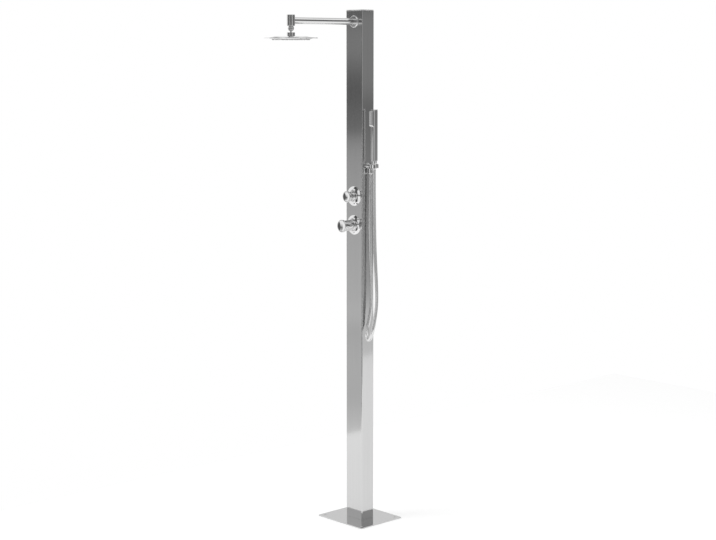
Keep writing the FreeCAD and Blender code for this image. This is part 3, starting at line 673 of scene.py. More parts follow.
@dataclass(frozen=True)
class Steel:
    """Stainless steel or chromed metal, from satin ground to mirror polished."""

    name: str
    colour: float
    roughness: float
    roughness_spread: float = 0.05
    tone_spread: float = 0.05
    grain: GrainRun = GrainRun.ROUND
    grain_height: float = 0.00001
    grain_span: Span = (0.2, 0.8)
    anisotropy: float = 0.0
    edge_radius: float = 0.0005
    round_edges: bool = True
    mark_share: float = 0.2
    mark_tone: float = 0.85
    # How much the edge mask lightens the colour: partly polished wear, partly a painted highlight
    # along the edges.
    wear_and_highlight_share: float = 0.5
    wear_and_highlight_tone: float = 1.18

    def build(self, effects: Effects) -> bpy.types.Material:
        """Makes the material.

        Args:
            effects: The shared shader groups.

        Returns:
            The material.
        """
        material, bench, shader = fresh_material(self.name)
        grain = bench.add("Group", {"Stretch": self.grain.value},
                          node_tree=effects.grain).outputs
        marks = bench.add("Group", node_tree=effects.marks).outputs["Mask"]
        # Edge mask and rounded normal; the mask also paints a highlight along the edges.
        wear = bench.add("Group", {"Radius": self.edge_radius}, node_tree=effects.wear).outputs
        dark, light = self.grain_span
        base = bench.ramp(grain["Tone"], [(dark, grey(self.colour - self.tone_spread)),
                                          (light, grey(self.colour + self.tone_spread))])
        base = bench.blend(bench.times(marks, self.mark_share), base,
                           self.colour * self.mark_tone)
        # Edges lightened: partly polished wear, partly a painted highlight.
        base = bench.blend(bench.times(wear["Mask"], self.wear_and_highlight_share), base,
                           min(1.0, self.colour * self.wear_and_highlight_tone))
        off_middle = bench.math("SUBTRACT", grain["Tone"], 0.5)
        rough = bench.math("ADD", self.roughness,
                           bench.times(off_middle, 2 * self.roughness_spread))
        rough = bench.math("ADD", rough, bench.times(marks, self.roughness_spread), clamp=True)
        bump = bench.add("Bump", {"Height": grain["Height"], "Strength": 1.0,
                                  "Distance": self.grain_height})
        if self.round_edges:
            bench.fill(bump, {"Normal": wear["Normal"]})
        bench.fill(shader, {"Base Color": base, "Roughness": rough, "Metallic": 1.0,
                            "Normal": bump.outputs["Normal"]})
        if self.anisotropy:
            tangent = bench.add("Tangent", direction_type="RADIAL", axis="Z").outputs["Tangent"]
            bench.fill(shader, {"Anisotropic": self.anisotropy, "Tangent": tangent})
        return material


@dataclass(frozen=True)
class Brass:
    """Machined brass of the hidden valve pieces."""

    name: str = "machined_brass"
    light: Colour = (0.76, 0.60, 0.32)
    dark: Colour = (0.60, 0.45, 0.22)
    roughness: float = 0.32
    mark_roughness: float = 0.2

    def build(self, effects: Effects) -> bpy.types.Material:
        """Makes the material.

        Args:
            effects: The shared shader groups.

        Returns:
            The material.
        """
        material, bench, shader = fresh_material(self.name)
        marks = bench.add("Group", node_tree=effects.marks).outputs["Mask"]
        base = bench.ramp(marks, [(0.0, self.light), (1.0, self.dark)])
        rough = bench.math("ADD", self.roughness, bench.times(marks, self.mark_roughness))
        bench.fill(shader, {"Base Color": base, "Roughness": rough, "Metallic": 1.0})
        return material


@dataclass(frozen=True)
class Moulded:
    """Moulded plastic or rubber: nearly even colour with a faint grain."""

    name: str
    colour: Colour
    roughness: float
    bump: float = 0.00004
    grain_scale: float = 900.0
    grain_span: Span = (0.3, 0.7)
    darker: float = 0.9
    lighter: float = 1.06
    mark_roughness: float = 0.12
    metallic: float = 0.0
    coat: float = 0.0

    def build(self, effects: Effects) -> bpy.types.Material:
        """Makes the material.

        Args:
            effects: The shared shader groups.

        Returns:
            The material.
        """
        material, bench, shader = fresh_material(self.name)
        place = bench.add("TexCoord").outputs["Object"]
        grain = bench.add("TexNoise", {"Vector": place, "Scale": self.grain_scale,
                                       "Detail": 3.0}).outputs["Fac"]
        marks = bench.add("Group", node_tree=effects.marks).outputs["Mask"]
        dark = tuple(self.darker * part for part in self.colour)
        light = tuple(min(1.0, self.lighter * part) for part in self.colour)
        base = bench.ramp(grain, list(zip(self.grain_span, (dark, light))))
        rough = bench.math("ADD", self.roughness, bench.times(marks, self.mark_roughness),
                           clamp=True)
        bump = bench.add("Bump", {"Height": grain, "Strength": 1.0, "Distance": self.bump})
        bench.fill(shader, {"Base Color": base, "Roughness": rough, "Metallic": self.metallic,
                            "Normal": bump.outputs["Normal"], "Coat Weight": self.coat})
        return material


Finish = Steel | Brass | Moulded


@dataclass
class Wardrobe:
    """Every finish of the part, and which nodes wear it."""

    effects: Effects
    # The column's wide edge radius also widens the painted highlight along the post's edges.
    column: Steel = Steel("satin_steel_upright", 0.66, 0.075, grain=GrainRun.UP,
                          tone_spread=0.04, roughness_spread=0.02, anisotropy=0.98,
                          edge_radius=0.0035)
    plate: Steel = Steel("polished_plate", 0.66, 0.1, grain=GrainRun.ALONG_X,
                         tone_spread=0.02, roughness_spread=0.03)
    bright: Steel = Steel("bright_chrome", 0.82, 0.04, tone_spread=0.02,
                          roughness_spread=0.02, grain_height=0.000002)
    turned: Steel = Steel("turned_chrome", 0.84, 0.04, tone_spread=0.02,
                          roughness_spread=0.02, grain_height=0.000002, round_edges=False)
    satin: Steel = Steel("satin_fitting", 0.66, 0.2, tone_spread=0.03, roughness_spread=0.03,
                         grain_height=0.000004, round_edges=False)
    plain: Steel = Steel("plain_steel", 0.58, 0.3)
    brass: Brass = Brass()
    inner: Moulded = Moulded("white_acetal", (0.82, 0.82, 0.80), 0.45)
    nozzle: Moulded = Moulded("soft_grey_nozzle", grey(0.45), 0.55)
    pale: Moulded = Moulded("pale_spray_face", grey(0.42), 0.4)
    washer: Moulded = Moulded("black_washer", grey(0.03), 0.6)
    skin: Moulded = Moulded("silver_hose_skin", grey(0.80), 0.16, metallic=0.72,
                            coat=0.6, grain_scale=400.0, bump=0.000001)
    built: dict[str, bpy.types.Material] = field(default_factory=dict)

    def wear(self, piece: bpy.types.Object, finish: Finish) -> None:
        """Gives a piece one finish all over, whose material is made only once.

        Args:
            piece: The piece.
            finish: What its surface is.
        """
        if finish.name not in self.built:
            self.built[finish.name] = finish.build(self.effects)
        piece.data.materials.clear()
        piece.data.materials.append(self.built[finish.name])

    def dress_nodes(self) -> None:
        """Gives every node of the frame its finish by material slot."""
        by_slot = {
            "post_steel": self.column, "bright_steel": self.bright, "inner_steel": self.plain,
            "valve_brass": self.brass, "inner_plastic": self.inner,
            "nozzle_rubber": self.nozzle, "washer_rubber": self.washer, "hose_skin": self.skin,
        }
        special = {"base_plate": self.plate, "ball_housing": self.satin}
        for part in frame["record"]["subparts"]:
            name = part["node"]
            self.wear(frame["nodes"][name], special.get(name, by_slot[part["material_slot"]]))
        log.info("dressed %d nodes", len(frame["nodes"]))


# --- Fitting ---
class Slot(Enum):
    """The record's material slots, as names carried with the scene's own pieces."""

    POST = "post_steel"
    BRIGHT = "bright_steel"
    NOZZLE = "nozzle_rubber"


@dataclass
class Fitter:
    """Puts finished pieces on their bodies in place of the plain nodes."""

    wardrobe: Wardrobe
    shading_weight: int = 70

    def place(self, mesh: bpy.types.Mesh, body: str, node: str, finish: Finish | None = None,
              slot: Slot = Slot.BRIGHT) -> bpy.types.Object:
        """Makes one piece from its mesh.

        Args:
            mesh: The piece's mesh, whose name the piece takes.
            body: The body that it moves with.
            node: The plain node that it stands for.
            finish: What its surface is, turned chrome where it isn't given.
            slot: The material slot that it belongs to; not used.

        Returns:
            The piece.
        """
        piece = linked(mesh.name, mesh)
        flat = piece.modifiers.new("even_shading", "WEIGHTED_NORMAL")
        flat.weight = self.shading_weight
        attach(piece, body)
        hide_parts(node)
        self.wardrobe.wear(piece, finish or self.wardrobe.turned)
        log.info("%s on %s", piece.name, body)
        return piece


# --- Column ---
@dataclass
class Column:
    """Closing cap of the square-edged post."""

    width: float = 0.090
    depth: float = 0.062
    corner: float = 0.0025
    top: float = 2.0
    top_soft: float = 0.0012
    cap_thickness: float = 0.003
    joint_line: float = 0.0008
    skirt_inset: float = 0.0041
    skirt_depth: float = 0.012

    def build(self, fitter: Fitter) -> None:
        """Makes the cap: a softened plate over a plug, with a fine shadow line under it.

        Args:
            fitter: Puts the cap on its body.
        """
        seat = self.top - self.cap_thickness
        plate = Bar(self.width, self.depth, self.corner, seat + self.joint_line, self.top,
                    high_soft=self.top_soft).mesh("cap_plate")
        plug = Bar(self.width - self.skirt_inset, self.depth - self.skirt_inset,
                   self.corner / 2, seat - self.skirt_depth, seat + 2 * self.joint_line)
        fitter.place(joined("post_cap", [plate, plug.mesh("cap_plug")]), "post", "top_cap",
                     fitter.wardrobe.column, Slot.POST)


# --- Controls ---
@dataclass
class Control:
    """One round control: cover plate, sleeve with a wider end, and the dished cap in it."""

    name: str
    height: float
    reach: float
    sleeve: float
    flange: float
    front_y: float = -0.031
    plate_radius: float = 0.038
    plate_height: float = 0.009
    plate_rim: float = 0.0015
    plate_belly: float = 0.0069
    plate_crown: float = 0.003
    plate_seat: float = 0.005
    plate_ledge: float = 0.0035
    plate_bevel: float = 0.0018
    gap: float = 0.0003
    wall: float = 0.0025
    neck_slope: float = 0.0015
    groove: float = 0.0004
    rim_width: float = 0.0035
    rim_soft: float = 0.0012
    flange_depth: float = 0.005
    cap_depth: float = 0.009
    cap_gap: float = 0.00005
    screw_radius: float = 0.0039
    screw_depth: float = 0.0066
    dish_ledge: float = 0.0010
    dish_rings: int = 14
    dish_depth: float = 0.0034
    sides: int = 96

    def turn(self, piece: str, corners: list[Corner]) -> bpy.types.Mesh:
        """Turns one outline round the control's axis."""
        return turned(self.name + "_" + piece, corners, (0.0, self.front_y, self.height),
                      FORWARD, sides=self.sides)

    def cover(self) -> bpy.types.Mesh:
        """Works out the domed cover plate.

        Returns:
            The cover plate's mesh.
        """
        hole, edge = self.sleeve + self.gap, self.plate_radius
        crown = hole + self.plate_crown
        return self.turn("cover", [
            (hole, self.plate_seat, 0.0), (self.sleeve + self.plate_ledge, self.plate_seat, 0.0),
            (edge - self.plate_bevel, 0.0, 0.0), (edge, 0.0, 0.0003),
            (edge, self.plate_rim, 0.0008),
            ((edge + crown) / 2, self.plate_belly, 0.006), (crown, self.plate_height, 0.002),
            (hole, self.plate_height, 0.0005)])

    def grip(self) -> bpy.types.Mesh:
        """Works out the sleeve with its wider end and the ring round the cap.

        Returns:
            The sleeve's mesh.
        """
        start, inside = self.plate_height - self.wall, self.sleeve - self.wall
        seat = self.reach - self.cap_depth
        neck = self.reach - self.flange_depth - self.neck_slope
        mouth = self.flange - self.rim_width
        groove, cut = self.groove, self.sleeve - self.groove
        return self.turn("grip", [
            (inside, start, 0.0), (self.sleeve, start, 0.0003),
            (self.sleeve, neck - 4 * groove, 0.0002), (cut, neck - 3 * groove, 0.0002),
            (cut, neck - groove, 0.0002), (self.sleeve, neck, 0.0003),
            (self.flange, self.reach - self.flange_depth, 0.0008),
            (self.flange, self.reach - self.rim_soft, 0.0006),
            (self.flange - self.rim_soft, self.reach, 0.0006),
            (mouth, self.reach, 0.0003), (mouth, seat, 0.0), (inside, seat, 0.0)])

    def cap(self) -> bpy.types.Mesh:
        """Works out the cap, hollowed like a shallow bowl.

        Returns:
            The cap's mesh.
        """
        edge = self.flange - self.rim_width - self.cap_gap
        face = self.reach - self.gap
        bowl = edge - self.dish_ledge
        ball = (bowl ** 2 + self.dish_depth ** 2) / (2 * self.dish_depth)
        turn = math.asin(bowl / ball)
        pocket, back = self.reach - self.screw_depth, self.reach - self.cap_depth
        corners: list[Corner] = [
            (0.0, pocket, 0.0), (self.screw_radius, pocket, 0.0),
            (self.screw_radius, back, 0.0), (edge, back, 0.0), (edge, face, 0.0004)]
        for step in range(self.dish_rings, -1, -1):
            lean = turn * step / self.dish_rings
            corners.append((ball * math.sin(lean),
                            face - self.dish_depth + ball * (1 - math.cos(lean)), 0.0))
        return self.turn("cap", corners)

    def build(self, fitter: Fitter) -> None:
        """Makes and dresses the control's visible pieces.

        Args:
            fitter: Puts the pieces on their bodies.
        """
        turning = self.name + "_control"
        for mesh, body, node in ((self.cover(), "post", "_rosette"),
                                 (self.grip(), turning, "_handle"),
                                 (self.cap(), turning, "_handle_cap")):
            fitter.place(mesh, body, self.name + node)


# --- Arm and rain head ---
@dataclass
class Overhead:
    """Arm's cover plate and end cylinder, and the thin round head with its nozzles."""

    front_y: float = -0.031
    axis_y: float = -0.349
    arm_height: float = 1.955
    arm_hole: float = 0.01305
    cover_radius: float = 0.023
    cover_height: float = 0.0045
    cover_step: float = 0.0015
    elbow_radius: float = 0.015
    elbow_rise: float = 0.0215
    elbow_drop: float = 0.0207
    elbow_chamfer: float = 0.0025
    elbow_groove: tuple[float, float, float] = (0.0032, 0.003, 0.0028)
    groove: float = 0.0003
    edge: float = 0.001
    boss_radius: float = 0.015
    boss_height: float = 0.0142
    boss_top: float = 1.9117
    boss_groove: float = 0.0004
    boss_grooved: Span = (0.0040, 0.0050)
    boss_slope: float = 0.0002
    neck_hole: float = 0.00605
    neck_seat: float = 0.0032
    bore: float = 0.004
    head_radius: float = 0.100
    chamber_radius: float = 0.078
    chamber_height: float = 0.005
    chamber_crown: float = 0.061
    chamber_foot: float = 0.0006
    chamber_foot_rise: float = 0.0007
    sheet: float = 0.002
    rim: float = 0.003
    rim_soft: float = 0.0012
    plate_radius: float = 0.0805
    plate: float = 0.003
    plate_edge: float = 0.0004
    plate_slope: float = 0.0035
    disc_sides: int = 144
    nozzle_pitch: float = 0.017
    nozzle_rings: int = 4
    nozzle_radius: float = 0.0023
    nozzle_collar: float = 0.0006
    nozzle_root: float = 0.0005
    nozzle_foot: Span = (0.0003, 0.0005)
    nozzle_bore_depth: float = 0.001
    nozzle_tip: float = 0.0016
    nozzle_bore: float = 0.0006
    nozzle_length: float = 0.0030
    nozzle_sides: int = 18

    @property
    def rim_underside(self) -> float:
        """Height of the rim's lower face."""
        return self.boss_top - self.boss_height - self.chamber_height - self.rim

    def upright(self, name: str, corners: list[Corner], low: float,
                sides: int = ROUND_SIDES) -> bpy.types.Mesh:
        """Turns one outline round the head's axis, from a height upward."""
        return turned(name, corners, (0.0, self.axis_y, low), UP, sides=sides)

    def cover(self) -> bpy.types.Mesh:
        """Works out the arm's cover plate on the post.

        Returns:
            The cover plate's mesh.
        """
        hole, radius, height = self.arm_hole, self.cover_radius, self.cover_height
        return turned("arm_cover", [
            (hole, 0.0, 0.0), (radius, 0.0, 0.0002), (radius, self.cover_step, 0.0007),
            (radius - self.cover_step, height, 0.0015), (hole, height, 0.0006)],
            (0.0, self.front_y, self.arm_height), FORWARD)

    def elbow(self) -> bpy.types.Mesh:
        """Works out the upright cylinder at the arm's end.

        Returns:
            The cylinder's mesh, with a fine groove near its top.
        """
        radius, height = self.elbow_radius, self.elbow_rise + self.elbow_drop
        chamfer, edge, (first, deepest, last) = self.elbow_chamfer, self.edge, self.elbow_groove
        return self.upright("arm_end", [
            (0.0, 0.0, 0.0), (radius - chamfer, 0.0, 0.0005), (radius, chamfer, 0.0006),
            (radius, height - first, 0.0001), (radius - self.groove, height - deepest, 0.0001),
            (radius, height - last, 0.0001), (radius, height - edge, 0.0004),
            (radius - edge, height, 0.0004), (0.0, height, 0.0)],
            self.arm_height - self.elbow_drop)

    def boss(self) -> bpy.types.Mesh:
        """Works out the boss that the neck screws into, with a fine groove round it.

        Returns:
            The boss's mesh.
        """
        radius, height = self.boss_radius, self.boss_height
        cut, (low, high) = radius - self.boss_groove, self.boss_grooved
        return self.upright("boss", [
            (self.bore, 0.0, 0.0), (radius, 0.0, 0.0003), (radius, low, 0.0002),
            (cut, low + self.boss_slope, 0.0001), (cut, high - self.boss_slope, 0.0001),
            (radius, high, 0.0002),
            (radius, height - self.edge, 0.0005), (radius - self.edge, height, 0.0005),
            (self.neck_hole, height, 0.0002), (self.neck_hole, self.neck_seat, 0.0),
            (self.bore, self.neck_seat, 0.0)], self.boss_top - height)

    def shell(self) -> bpy.types.Mesh:
        """Works out the head's top: thin rim, low chamber, each with a rounded edge.

        Returns:
            The shell's mesh.
        """
        rim, high, foot = self.rim, self.rim + self.chamber_height, self.chamber_foot
        wall = self.chamber_radius - self.sheet
        return self.upright("head_top", [
            (wall, 0.0, 0.0), (self.head_radius, 0.0, self.rim_soft),
            (self.head_radius, rim, self.rim_soft), (self.chamber_radius, rim, foot),
            (self.chamber_radius - foot, rim + self.chamber_foot_rise, foot),
            (self.chamber_crown, high, 0.004), (self.bore, high, 0.0),
            (self.bore, high - self.sheet, 0.0), (self.chamber_crown, high - self.sheet, 0.0),
            (wall, rim - self.edge, 0.0)], self.rim_underside, self.disc_sides)

    def spray_plate(self) -> bpy.types.Mesh:
        """Works out the round plate that the nozzles stand in.

        Returns:
            The plate's mesh.
        """
        radius, plate = self.plate_radius, self.plate
        return self.upright("rain_plate", [
            (0.0, 0.0, 0.0), (radius - self.plate_slope, 0.0, 0.001),
            (radius, plate - self.plate_edge, 0.0003), (radius, plate, 0.0),
            (0.0, plate, 0.0)], self.rim_underside - plate, self.disc_sides)

    def nozzles(self) -> bpy.types.Mesh:
        """Works out all the soft tips, six more on each ring, each with a collar and a bore.

        Returns:
            The mesh of all tips.
        """
        root, collar = -self.nozzle_root, self.nozzle_radius + self.nozzle_collar
        bore, length, end = self.nozzle_bore, self.nozzle_length, self.nozzle_bore_depth
        collar_top, foot = self.nozzle_foot
        outline = [(0.0, root, 0.0), (collar, root, 0.0), (collar, collar_top, 0.0002),
                   (self.nozzle_radius, foot, 0.0002), (self.nozzle_tip, length, 0.0006),
                   (bore, length, 0.0002), (bore, end, 0.0), (0.0, end, 0.0)]
        meshes = []
        for ring in range(self.nozzle_rings + 1):
            count = max(1, 6 * ring)
            for step in range(count):
                angle = 2 * math.pi * step / count
                place = (self.nozzle_pitch * ring * math.cos(angle),
                         self.axis_y + self.nozzle_pitch * ring * math.sin(angle),
                         self.rim_underside - self.plate)
                meshes.append(turned("tip", outline, place, DOWN, sides=self.nozzle_sides))
        return joined("rain_nozzles", meshes)

    def build(self, fitter: Fitter) -> None:
        """Makes and dresses the arm's and the head's visible pieces.

        Args:
            fitter: Puts the pieces on their bodies.
        """
        wardrobe, head = fitter.wardrobe, "shower_head"
        fitter.place(self.cover(), "post", "arm_rosette")
        fitter.place(self.elbow(), "post", "head_elbow", wardrobe.satin)
        fitter.place(self.boss(), head, "head_boss", wardrobe.satin)
        fitter.place(self.shell(), head, "head_shell")
        fitter.place(self.spray_plate(), head, "spray_plate")
        fitter.place(self.nozzles(), head, "spray_nozzles", wardrobe.nozzle, Slot.NOZZLE)


# --- Hose ends and hand shower ---
@dataclass
class HoseEnds:
    """The nut under the outlet and the conical nut under the hand shower."""

    supply_x: float = 0.059
    supply_low: float = 1.375
    supply_radius: float = 0.009
    supply_length: float = 0.0205
    supply_chamfer: Span = (0.0015, 0.002)
    supply_grooves: tuple[float, ...] = (0.006, 0.0135)
    groove: float = 0.0004
    edge: float = 0.001
    cone_x: float = 0.0795
    cone_low: float = 1.395
    cone_radius_low: float = 0.0093
    cone_radius_high: float = 0.0112
    cone_length: float = 0.023
    cone_collar: float = 0.0067
    cone_groove: float = 0.0003
    bore: float = 0.004
    thread_radius: float = 0.00655
    thread_seat: float = 0.004
    sides: int = 64

    def inside(self, top: float) -> list[Corner]:
        """Returns a nut's thread and bore, from its top downward."""
        return [(self.thread_radius, top, 0.0), (self.thread_radius, self.thread_seat, 0.0),
                (self.bore, self.thread_seat, 0.0)]

    def supply_nut(self) -> bpy.types.Mesh:
        """Works out the upper nut, with two fine grooves round it.

        Returns:
            The nut's mesh.
        """
        radius, length, cut = self.supply_radius, self.supply_length, self.groove
        inward, upward = self.supply_chamfer
        corners: list[Corner] = [(self.bore, 0.0, 0.0), (radius - inward, 0.0, 0.0005),
                                 (radius, upward, 0.0008)]
        for groove in self.supply_grooves:
            corners += [(radius, groove, 0.0001), (radius - cut, groove + cut, 0.0001),
                        (radius - cut, groove + 2 * cut, 0.0001),
                        (radius, groove + 3 * cut, 0.0001)]
        corners += [(radius, length - self.edge, 0.0005), (radius - self.edge, length, 0.0005)]
        return turned("supply_nut", corners + self.inside(length),
                      (self.supply_x, 0.0, self.supply_low), UP, sides=self.sides)

    def cone_nut(self) -> bpy.types.Mesh:
        """Works out the conical nut with a straight collar above.

        Returns:
            The nut's mesh.
        """
        low, high, length = self.cone_radius_low, self.cone_radius_high, self.cone_length
        height = length + self.cone_collar
        corners: list[Corner] = [
            (self.bore, 0.0, 0.0), (low, 0.0, 0.0008), (high, length, 0.0004),
            (high - self.cone_groove, length + self.groove, 0.0001),
            (high, length + 2 * self.groove, 0.0002), (high, height, 0.0005)]
        return turned("cone_nut", corners + self.inside(height),
                      (self.cone_x, 0.0, self.cone_low), UP, sides=self.sides)

    def build(self, fitter: Fitter) -> list[bpy.types.Object]:
        """Makes and dresses both nuts.

        Args:
            fitter: Puts the pieces on their bodies.

        Returns:
            The two nuts.
        """
        return [fitter.place(self.supply_nut(), "post", "supply_hose_nut"),
                fitter.place(self.cone_nut(), "hose_end", "handset_cone_nut")]


@dataclass
class HandOutlet:
    """Water outlet and holder in one: shoulder, bar, hose nipple and the slotted ring."""

    side_x: float = 0.045
    height: float = 1.406
    nose_radius: float = 0.0074
    nose_length: float = 0.015
    shoulder_radius: float = 0.011
    shoulder_thickness: float = 0.002
    bar_radius: float = 0.00725
    bar_length: float = 0.0204
    bar_fillet: Span = (0.0006, 0.0008)
    nipple_x: float = 0.059
    nipple_radius: float = 0.0065
    nipple_end: float = 1.3811
    nipple_chamfer: float = 0.0005
    nipple_bore: float = 0.004
    nipple_floor: float = 0.004
    ring_x: float = 0.0795
    ring_radius: float = 0.017
    ring_height: float = 0.016
    seat_low: float = 0.0097
    seat_high: float = 0.01105
    slot_half: float = 0.0071
    soft_low: float = 0.0008
    soft_high: float = 0.0030
    seat_soft: float = 0.2
    arc_steps: int = 48
    soft_steps: int = 6

    def arc(self, radius: float, inset: float, height: float) -> list[Point]:
        """Works out one arc round the ring's axis, open at the slot.

        Args:
            radius: The arc's radius.
            inset: How far the slot's faces are drawn in.
            height: The arc's height.

        Returns:
            The arc's points, from one side of the slot round to the other.
        """
        start = math.asin((self.slot_half + inset) / radius)
        sweep = 2 * (math.pi - start)
        turns = [start + sweep * step / self.arc_steps for step in range(self.arc_steps + 1)]
        return [(self.ring_x + radius * math.cos(turn), radius * math.sin(turn), height)
                for turn in turns]

    def ring(self) -> bpy.types.Mesh:
        """Works out the holder's ring: conical seat, slot, well rounded upper edge.

        Returns:
            The ring's mesh.
        """
        shape = bmesh.new()
        rows = []
        for rise, inset in rounded_ends(0.0, self.ring_height, self.soft_low, self.soft_high,
                                        self.soft_steps):
            height = self.height - self.ring_height / 2 + rise
            seat = self.seat_low + (self.seat_high - self.seat_low) * rise / self.ring_height
            slot = inset * self.seat_soft
            outer = self.arc(self.ring_radius - inset, slot, height)
            inner = self.arc(seat + slot, slot, height)
            rows.append([shape.verts.new(point) for point in outer + list(reversed(inner))])
        bridge(shape, rows)
        for row in (rows[0], rows[-1]):
            for step in range(self.arc_steps):
                shape.faces.new((row[step], row[step + 1], row[-2 - step], row[-1 - step]))
        return smooth_mesh("ring", shape)

    def build(self, fitter: Fitter) -> None:
        """Makes and dresses the outlet with its ring.

        Args:
            fitter: Puts the outlet on its body.
        """
        shoulder, bar, nipple = self.shoulder_radius, self.bar_radius, self.nipple_radius
        nose, thickness = self.nose_radius, self.shoulder_thickness
        outward, along = self.bar_fillet
        drop, bore, floor = self.height - self.nipple_end, self.nipple_bore, self.nipple_floor
        pieces = [
            turned("shoulder", [
                (0.0, -self.nose_length, 0.0), (nose, -self.nose_length, 0.0006),
                (nose, 0.0, 0.0), (shoulder, 0.0, 0.0002), (shoulder, thickness, 0.0008),
                (bar + outward, thickness, 0.0006), (bar, thickness + along, 0.0006),
                (bar, self.bar_length, 0.0), (0.0, self.bar_length, 0.0)],
                (self.side_x, 0.0, self.height), SIDEWAYS),
            turned("nipple", [
                (0.0, 0.0, 0.0), (nipple, 0.0, 0.0), (nipple, drop - self.nipple_chamfer, 0.0),
                (nipple - self.nipple_chamfer, drop, 0.0), (bore, drop, 0.0),
                (bore, floor, 0.0), (0.0, floor, 0.0)],
                (self.nipple_x, 0.0, self.height), DOWN),
            self.ring()]
        fitter.place(joined("hand_outlet", pieces), "post", "outlet_bracket")


@dataclass
class HandShower:
    """Slim stick with rounded corners, its top cap and the raised oblong spray head."""

    centre_x: float = 0.0795
    width: float = 0.020
    depth: float = 0.027
    corner: float = 0.0078
    low: float = 1.4250
    high: float = 1.6220
    end_soft: float = 0.0012
    joint_soft: float = 0.0003
    joint_half: float = 0.0002
    cap: float = 0.0025
    plug_inset: float = 0.0041
    plug_corner: float = 0.002
    plug_depth: float = 0.006
    plug_rise: float = 0.001
    spray_width: float = 0.018
    spray_front: float = -0.0195
    spray_low: float = 1.5550
    spray_high: float = 1.6150
    spray_slope: float = 0.006
    spray_back: float = -0.0085
    spray_soft: float = 0.0024
    spray_steps: int = 5
    spray_behind: float = 0.001
    pad_border: float = 0.0026
    pad_margin: float = 0.0028
    pad_sunk: float = 0.0002
    pad_thickness: float = 0.0010
    pad_soft: float = 0.00025
    pad_steps: int = 3
    columns: int = 3
    rows: int = 11
    pitch: float = 0.0045
    tip_radius: float = 0.0012
    tip_end: float = 0.0008
    tip_bore: float = 0.0003
    tip_length: float = 0.0006
    tip_root: float = 0.0002
    tip_sides: int = 14

    def stick(self) -> bpy.types.Mesh:
        """Returns the stick that is held in the hand."""
        return Bar(self.width, self.depth, self.corner, self.low,
                   self.high - self.cap - self.joint_half, self.centre_x,
                   low_soft=self.end_soft, high_soft=self.joint_soft).mesh("stick")

    def top(self) -> bpy.types.Mesh:
        """Works out the cap that closes the stick, over a fine joint line.

        Returns:
            The cap's mesh.
        """
        joint = self.high - self.cap
        plate = Bar(self.width, self.depth, self.corner, joint + self.joint_half,
                    self.high, self.centre_x, low_soft=self.joint_soft, high_soft=self.end_soft)
        plug = Bar(self.width - self.plug_inset, self.depth - self.plug_inset,
                   self.corner - self.plug_corner, joint - self.plug_depth,
                   joint + self.plug_rise, self.centre_x)
        return joined("stick_cap", [plate.mesh("cap_top"), plug.mesh("cap_inner")])

    def spray_head(self) -> bpy.types.Mesh:
        """Works out the raised spray head, its edges softened and its lower end sloped.

        Returns:
            The spray head's mesh.
        """
        profile = [(self.spray_back, self.spray_low), (self.spray_back, self.spray_high),
                   (self.spray_front, self.spray_high),
                   (self.spray_front, self.spray_low + self.spray_slope),
                   (-self.depth / 2, self.spray_low)]
        half = self.spray_width / 2
        shape = bmesh.new()
        sides = [[shape.verts.new((self.centre_x + side * half, y, z)) for y, z in profile]
                 for side in (-1, 1)]
        bridge(shape, sides)
        shape.faces.new(sides[0])
        shape.faces.new(list(reversed(sides[1])))
        behind = -self.depth / 2 + self.spray_behind
        outer = [edge for edge in shape.edges
                 if any(vertex.co.y < behind for vertex in edge.verts)]
        bmesh.ops.bevel(shape, geom=outer, offset=self.spray_soft, segments=self.spray_steps,
                        profile=0.5, affect="EDGES", clamp_overlap=True)
        return smooth_mesh("spray_head", shape)

    def pad(self) -> bpy.types.Mesh:
        """Works out the soft oblong face that the tips stand on.

        Returns:
            The face's mesh.
        """
        low = self.spray_low + self.spray_slope + self.pad_margin
        high = self.spray_high - self.pad_margin
        half = self.spray_width / 2 - self.pad_border
        shape = bmesh.new()
        bmesh.ops.create_cube(shape, size=1.0)
        for vertex in shape.verts:
            vertex.co = Vector((self.centre_x + 2 * half * vertex.co.x,
                                self.spray_front + self.pad_sunk
                                + self.pad_thickness * vertex.co.y,
                                (low + high) / 2 + (high - low) * vertex.co.z))
        bmesh.ops.bevel(shape, geom=list(shape.edges), offset=self.pad_soft,
                        segments=self.pad_steps, profile=0.5, affect="EDGES")
        return smooth_mesh("pad", shape)

    def tips(self) -> bpy.types.Mesh:
        """Works out the soft face with its rows of small tips.

        Returns:
            The mesh of face and tips.
        """
        root, bore, length = self.tip_root, self.tip_bore, self.tip_length
        outline = [(0.0, -root, 0.0), (self.tip_radius, -root, 0.0),
                   (self.tip_end, length, 0.0003), (bore, length, 0.0001),
                   (bore, root, 0.0), (0.0, root, 0.0)]
        middle = (self.spray_low + self.spray_slope + self.spray_high) / 2
        meshes = [self.pad()]
        for column in range(self.columns):
            for row in range(self.rows):
                place = (self.centre_x + (column - (self.columns - 1) / 2) * self.pitch,
                         self.spray_front - self.pad_sunk,
                         middle + (row - (self.rows - 1) / 2) * self.pitch)
                meshes.append(turned("tip", outline, place, FORWARD, sides=self.tip_sides))
        return joined("spray_face", meshes)

    def build(self, fitter: Fitter) -> None:
        """Makes and dresses the hand shower's visible pieces.

        Args:
            fitter: Puts the pieces on their body.
        """
        for mesh, node in ((self.stick(), "handset_body"), (self.top(), "handset_top_cap"),
                           (self.spray_head(), "handset_spray_head")):
            fitter.place(mesh, "handset", node)
        fitter.place(self.tips(), "handset", "handset_nozzles", fitter.wardrobe.pale,
                     Slot.NOZZLE)


# --- Studio ---
@dataclass(frozen=True)
class Lamp:
    """One soft square lamp that looks at the middle of the post."""

    name: str
    place: Point
    size: float
    power: float
    target: Point = (0.0, 0.0, 1.0)

    def hang(self) -> None:
        """Makes the lamp, which lights the object but isn't seen in it."""
        data = bpy.data.lights.new(self.name, "AREA")
        data.size = self.size
        data.energy = self.power
        lamp = linked(self.name, data)
        aimed(lamp, self.place, Vector(self.target) - Vector(self.place))
        lamp.visible_camera = False
        lamp.visible_glossy = False


